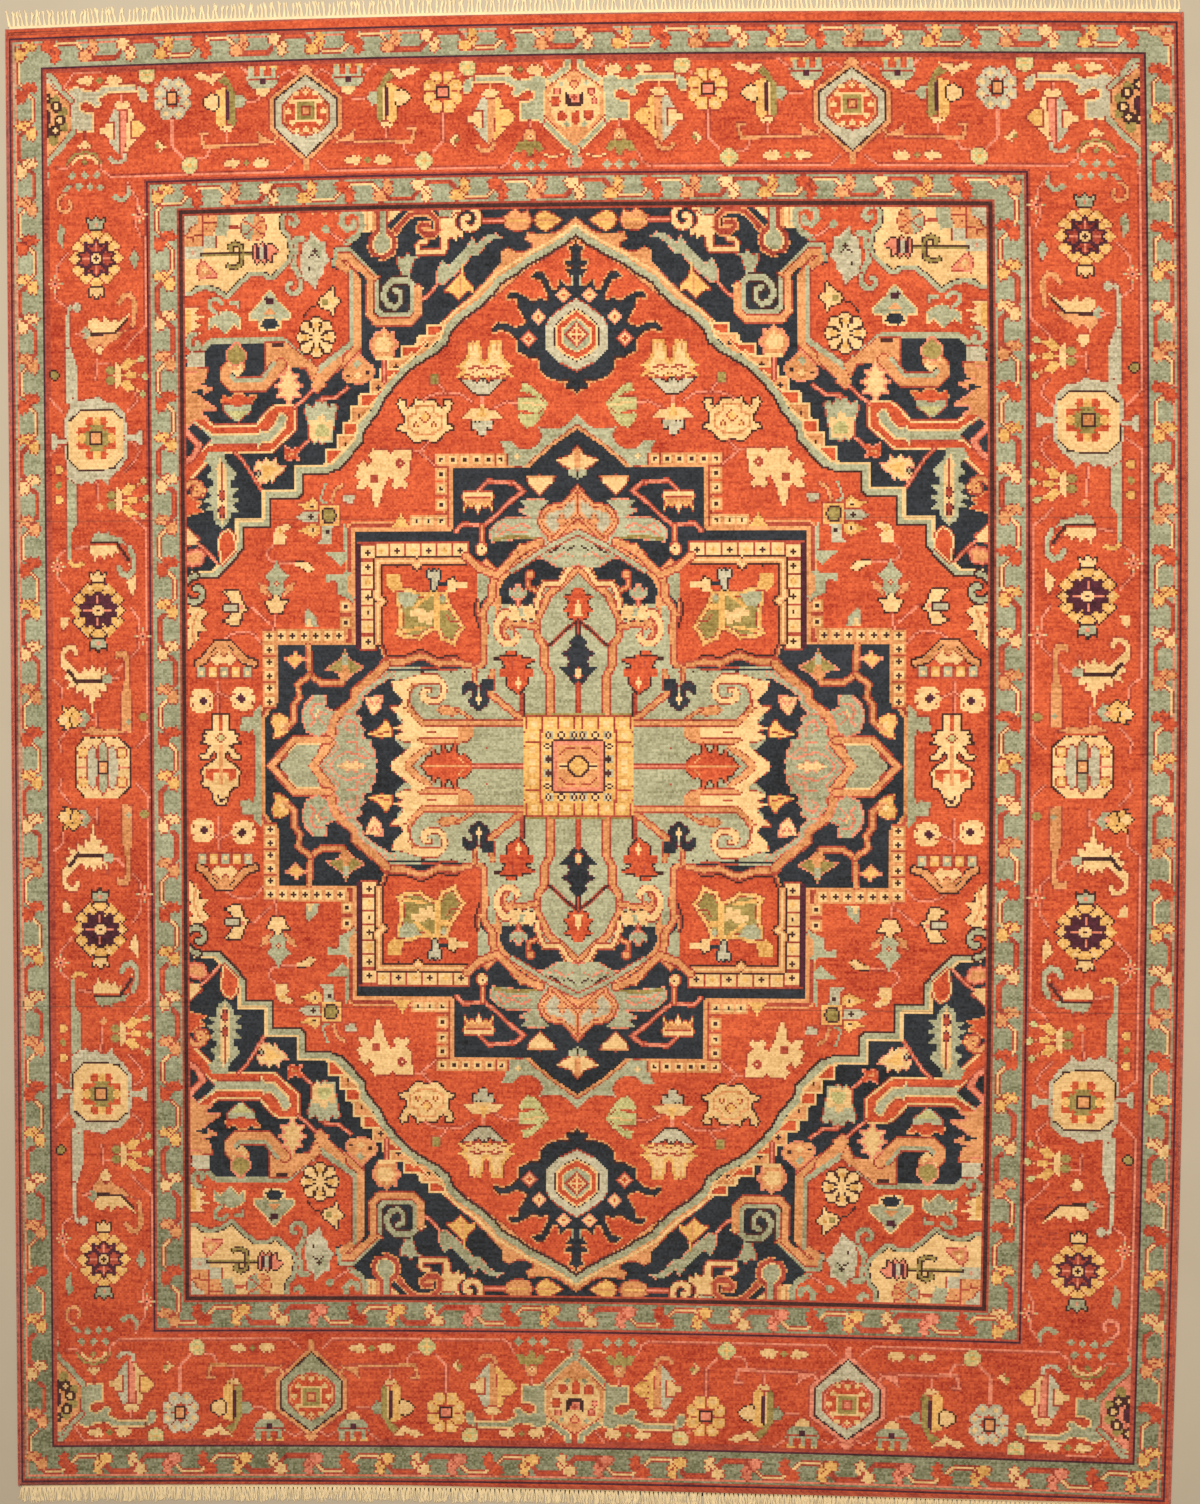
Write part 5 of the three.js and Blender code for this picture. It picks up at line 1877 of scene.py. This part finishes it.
def end_tree(tree, start, geometry):
    """Realizes the instances, sets the material and ends the tree."""
    solid = node(tree, "GeometryNodeRealizeInstances", Geometry=geometry)
    worn = node(tree, "GeometryNodeSetMaterial", Geometry=solid.outputs[0],
                Material=start["Material"])
    node(tree, "NodeGroupOutput", Geometry=worn.outputs[0])


def grown_by(tree, base, values):
    """Runs a tree on an object and leaves its result as a plain mesh."""
    modifier = base.modifiers.new(tree.name, "NODES")
    modifier.node_group = tree
    for item in tree.interface.items_tree:
        if item.in_out == "INPUT" and item.name in values:
            modifier[item.identifier] = values[item.name]
    evaluated = base.evaluated_get(bpy.context.evaluated_depsgraph_get())
    mesh = bpy.data.meshes.new_from_object(evaluated)
    base.modifiers.remove(modifier)
    old = base.data
    base.data = mesh
    bpy.data.meshes.remove(old)
    mesh.name = base.name
    print(base.name, len(mesh.loop_triangles), "triangles")
    return base


def overcast_tree():
    """Slanted rings along a line, about a plain core."""
    tree, start = new_tree("overcast", {
        "Wraps": "Int", "Cord radius": "Float", "Yarn radius": "Float",
        "Slant": "Float", "Material": "Material",
    })
    curve = node(tree, "GeometryNodeMeshToCurve", Mesh=start["Geometry"]).outputs[0]
    core_ring = node(tree, "GeometryNodeCurvePrimitiveCircle",
                     Resolution=8, Radius=start["Cord radius"])
    core_size = node(tree, "GeometryNodeSetCurveRadius", Curve=curve, Radius=0.72)
    core = node(tree, "GeometryNodeCurveToMesh", {},
                Curve=core_size.outputs[0],
                **{"Profile Curve": core_ring.outputs[0], "Fill Caps": True})
    inner = node(tree, "ShaderNodeMath", {"operation": "SUBTRACT"},
                 _0=start["Cord radius"], _1=start["Yarn radius"])
    ring = node(tree, "GeometryNodeCurvePrimitiveCircle",
                Resolution=10, Radius=inner.outputs[0])
    yarn = node(tree, "GeometryNodeCurvePrimitiveCircle",
                Resolution=4, Radius=start["Yarn radius"])
    wrap = node(tree, "GeometryNodeCurveToMesh", Curve=ring.outputs[0],
                **{"Profile Curve": yarn.outputs[0]})
    even = node(tree, "GeometryNodeResampleCurve", Curve=curve, Count=start["Wraps"])
    points = node(tree, "GeometryNodeCurveToPoints", {"mode": "EVALUATED"},
                  Curve=even.outputs[0])
    slant = node(tree, "ShaderNodeCombineXYZ", X=start["Slant"])
    leaning = node(tree, "FunctionNodeRotateRotation", {"rotation_space": "LOCAL"},
                   Rotation=points.outputs["Rotation"], **{"Rotate By": slant.outputs[0]})
    wraps = node(tree, "GeometryNodeInstanceOnPoints", Points=points.outputs[0],
                 Instance=wrap.outputs[0], Rotation=leaning.outputs[0])
    both = node(tree, "GeometryNodeJoinGeometry")
    tree.links.new(core.outputs[0], both.inputs[0])
    tree.links.new(wraps.outputs[0], both.inputs[0])
    end_tree(tree, start, both.outputs[0])
    return tree


edge_wool = wool("overcast wool yarn, rust", "#a8432a", charted=False, seed=40.0)
overcasting = overcast_tree()
selvedges = {}
for side, side_name in ((-1, "left"), (1, "right")):
    cord = line_object(f"overcast_{side_name}", side_line(side, SELVEDGE / 2))
    selvedges[side_name] = grown_by(overcasting, cord, {
        "Wraps": ROWS, "Cord radius": SELVEDGE / 2, "Yarn radius": WRAP_YARN / 2,
        "Slant": WRAP_SLANT, "Material": edge_wool,
    })

# %% [markdown]
# At each end the weaver leaves a few wefts of plain weave and knots the warps
# into locks. A lock is narrow at its root, so a dark notch shows beside it, and
# fans out over the floor. Geometry Nodes set strands along the end, a few from
# each root, and push them about with noise that grows towards their tips.

# %% Fringe
STRIP_WIDTH = 0.007
STRIP_HEIGHT = 0.0023
STRIP_FALL = 0.35
STRIP_INSET = 0.003
STRIP_ACROSS = 900
STRIP_ALONG = 5
RIB = 0.00018
LOCKS = 260
STRANDS = 6
STRAND = 0.0021
STRAND_LENGTH = 0.032
SPLAY = radians(18)
LEANS = {"lock": 0.17, "strand": 0.09}
LEAST_REACH = 0.84
MOST_REACH = 1.04
ROOT_SPREAD = 0.0058
STRAY = (0.013, 0.007, 0.0012)
END_POINTS = 120
ROOTED_SHARE = 0.9975


def root_line(end, out):
    """The roots' line along one end of the rug, this far out from the pile."""
    s = np.linspace(-1, 1, END_POINTS) * ROOTED_SHARE
    x, y = on_rug(s, np.full(END_POINTS, float(end)))
    return [(px, py + end * out, STRAND / 2 + GAP) for px, py in zip(x, y)]


print(LOCKS * STRANDS, "strands at each end")

# %% Strips and locks


def end_strip(end, name):
    """The flat-woven strip: a thin slab with soft ribs, one for each pair of warps."""
    s = shares(STRIP_ACROSS, STRIP_INSET, COLUMNS * COLUMN_PITCH)
    x, y = on_rug(s, np.full(STRIP_ACROSS, float(end)))
    rows = []
    for i, out in enumerate(np.linspace(GAP, STRIP_WIDTH, STRIP_ALONG)):
        fall = 1 - STRIP_FALL * (i / (STRIP_ALONG - 1)) ** 2
        rib = RIB * np.sin(np.arange(STRIP_ACROSS) * 2.1) * np.sin(i * 1.7 + 0.5)
        rows.append(np.column_stack([x, y + end * out, STRIP_HEIGHT * fall + rib]))
    top = np.concatenate(rows)
    return slab(name, top, top * (1, 1, 0), STRIP_ACROSS, end)


def fringe_tree(end):
    """Strands that fan out from knotted roots along a line."""
    tree, start = new_tree(f"fringe {'top' if end > 0 else 'bottom'}", {
        "Locks": "Int", "Strands": "Int", "Length": "Float", "Strand radius": "Float",
        "Splay": "Float", "Seed": "Int", "Material": "Material",
    })
    curve = node(tree, "GeometryNodeMeshToCurve", Mesh=start["Geometry"]).outputs[0]
    even = node(tree, "GeometryNodeResampleCurve", Curve=curve, Count=start["Locks"])
    roots = node(tree, "GeometryNodeCurveToPoints", {"mode": "EVALUATED"}, Curve=even.outputs[0])
    number = node(tree, "GeometryNodeInputIndex").outputs[0]
    kept, lock, own = roots.outputs[0], {}, {}
    for label, ranges in (
        ("lean", [(-LEANS[who], LEANS[who]) for who in ("lock", "strand")]),
        ("reach", [(LEAST_REACH, MOST_REACH)] * 2),
    ):
        drawn, own[label] = [
            node(tree, "FunctionNodeRandomValue", {"data_type": "FLOAT"}, ID=number,
                 Seed=start["Seed"], _2=least, _3=most).outputs[1] for least, most in ranges
        ]
        kept = node(tree, "GeometryNodeStoreNamedAttribute",
                    {"data_type": "FLOAT", "domain": "POINT"},
                    Geometry=kept, Name=label, Value=drawn).outputs[0]
        lock[label] = node(tree, "GeometryNodeInputNamedAttribute", {"data_type": "FLOAT"},
                           Name=label).outputs[0]
    copies = node(tree, "GeometryNodeDuplicateElements", {"domain": "POINT"},
                  Geometry=kept, Amount=start["Strands"])
    share = node(tree, "ShaderNodeMath", {"operation": "DIVIDE"},
                 _0=copies.outputs[1], _1=start["Strands"]).outputs[0]
    spread = node(tree, "ShaderNodeMath", {"operation": "SUBTRACT"}, _0=share, _1=0.375).outputs[0]
    angle = node(tree, "ShaderNodeMath", {"operation": "MULTIPLY"}, _0=spread, _1=start["Splay"])
    for turn in (own["lean"], lock["lean"], 0 if end > 0 else pi):
        angle = node(tree, "ShaderNodeMath", _0=angle.outputs[0], _1=turn)
    facing = node(tree, "ShaderNodeCombineXYZ", Z=angle.outputs[0])
    shift = node(tree, "ShaderNodeMath", {"operation": "MULTIPLY"}, _0=spread, _1=ROOT_SPREAD)
    offset = node(tree, "ShaderNodeCombineXYZ", X=shift.outputs[0])
    set_off = node(tree, "GeometryNodeSetPosition", Geometry=copies.outputs[0],
                   Offset=offset.outputs[0])
    size = node(tree, "ShaderNodeMath", {"operation": "MULTIPLY"},
                _0=lock["reach"], _1=own["reach"])
    size = node(tree, "ShaderNodeCombineXYZ", X=1.0, Y=size.outputs[0], Z=1.0)

    tip = node(tree, "ShaderNodeCombineXYZ", Y=start["Length"])
    strand = node(tree, "GeometryNodeCurvePrimitiveLine", End=tip.outputs[0])
    strand = node(tree, "GeometryNodeResampleCurve", Curve=strand.outputs[0], Count=8)
    along = node(tree, "GeometryNodeSplineParameter").outputs["Factor"]
    strand = node(tree, "GeometryNodeStoreNamedAttribute", {"data_type": "FLOAT"},
                  Geometry=strand.outputs[0], Name="along", Value=along)
    thick = node(tree, "ShaderNodeMath", {"operation": "MULTIPLY_ADD"},
                 _0=along, _1=-0.25, _2=1.0)
    strand = node(tree, "GeometryNodeSetCurveRadius", Curve=strand.outputs[0],
                  Radius=thick.outputs[0])
    section = node(tree, "GeometryNodeCurvePrimitiveCircle", Resolution=4,
                   Radius=start["Strand radius"])
    strand = node(tree, "GeometryNodeCurveToMesh", Curve=strand.outputs[0],
                  **{"Profile Curve": section.outputs[0], "Fill Caps": True})
    strands = node(tree, "GeometryNodeInstanceOnPoints", Points=set_off.outputs[0],
                   Instance=strand.outputs[0], Rotation=facing.outputs[0], Scale=size.outputs[0])
    solid = node(tree, "GeometryNodeRealizeInstances", Geometry=strands.outputs[0])

    here = node(tree, "GeometryNodeInputPosition").outputs[0]
    noise = node(tree, "ShaderNodeTexNoise", Vector=here, Scale=70.0, Detail=1.0)
    centred = node(tree, "ShaderNodeVectorMath", {"operation": "SUBTRACT"},
                   _0=noise.outputs["Color"], _1=(0.5, 0.5, 0.42))
    far = node(tree, "GeometryNodeInputNamedAttribute", {"data_type": "FLOAT"}, Name="along")
    stray = node(tree, "ShaderNodeVectorMath", {"operation": "MULTIPLY"},
                 _0=centred.outputs[0], _1=STRAY)
    stray = node(tree, "ShaderNodeVectorMath", {"operation": "SCALE"}, _0=stray.outputs[0],
                 Scale=far.outputs[0])
    moved = node(tree, "GeometryNodeSetPosition", Geometry=solid.outputs[0],
                 Offset=stray.outputs[0])
    end_tree(tree, start, moved.outputs[0])
    return tree


fringes = {}
for end, end_name, seed in ((1, "top", 3), (-1, "bottom", 8)):
    strip = end_strip(end, f"kilim_{end_name}")
    strip.data.materials.append(warp_cotton)
    roots = line_object(f"locks_{end_name}", root_line(end, STRIP_WIDTH - 2 * GAP))
    locks = grown_by(fringe_tree(end), roots, {
        "Locks": LOCKS, "Strands": STRANDS, "Length": STRAND_LENGTH,
        "Strand radius": STRAND / 2, "Splay": SPLAY, "Seed": seed, "Material": warp_cotton,
    })
    fringes[end_name] = (strip, locks)

# %% [markdown]
# A plain pale floor carries the rug. It isn't part of the object.

# %% Floor
bpy.ops.mesh.primitive_plane_add(size=14, location=(0, 0, -0.0002))
floor = bpy.context.object
floor.name = "floor"
floor_material, floor_tree, surface = new_material("matt plaster floor, pale", Roughness=0.9)
grain = node(floor_tree, "ShaderNodeTexNoise", Scale=6.0, Detail=3.0,
             Vector=node(floor_tree, "ShaderNodeTexCoord").outputs["Object"])
tone = node(floor_tree, "ShaderNodeMix", {"data_type": "RGBA"}, Factor=grain.outputs[0],
            _6=linear("#b3a793"), _7=linear("#bcb09b"))
floor_tree.links.new(tone.outputs[2], surface["Base Color"])
floor.data.materials.append(floor_material)
print("floor", floor.dimensions[0], "m across")

# %% [markdown]
# Soft studio light: one wide panel high over the top left, a second straight
# above, and an even sky. The pile is brighter at the top, as in the photograph,
# and a little warmer at the bottom, where the sky counts for more.

# %% Light


def panel(name, place, aim, size, power, colour):
    """A square area light that faces a point."""
    light = bpy.data.lights.new(name, "AREA")
    light.shape = "SQUARE"
    light.size = size
    light.energy = power
    light.color = linear(colour)[:3]
    lamp = bpy.data.objects.new(name, light)
    lamp.location = place
    lamp.rotation_euler = (Vector(aim) - Vector(place)).to_track_quat("-Z", "Y").to_euler()
    scene.collection.objects.link(lamp)


panel("key", (-0.5, 2.3, 4.2), (0, 0.2, 0), 2.0, 172, "#fffcf6")
panel("fill", (0.7, -0.3, 4.2), (0.7, -0.3, 0), 2.0, 92, "#fff6ea")
world = bpy.data.worlds.new("studio")
world.use_nodes = True
world.node_tree.nodes["Background"].inputs[0].default_value = linear("#fff0dc")
world.node_tree.nodes["Background"].inputs[1].default_value = 0.28
scene.world = world
scene.view_settings.view_transform = "Standard"
scene.view_settings.look = "None"
print("two panels and a sky")

# %% [markdown]
# ## Into the frame
# Every piece rides on the rug's one body, and the solid that it dresses is hidden.

# %% Riding and hiding
for piece in pile:
    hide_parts("knotted_cloth")
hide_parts("knotted_cloth")
for side_name, cord in selvedges.items():
    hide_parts(f"selvedge_{side_name}")
for end_name, pieces in fringes.items():
    for piece in pieces:
        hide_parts(f"fringe_{end_name}")
on_cloth = [*pile, *selvedges.values(), *fringes["top"], *fringes["bottom"]]
for piece in (ground, *on_cloth):
    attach(piece, "root")
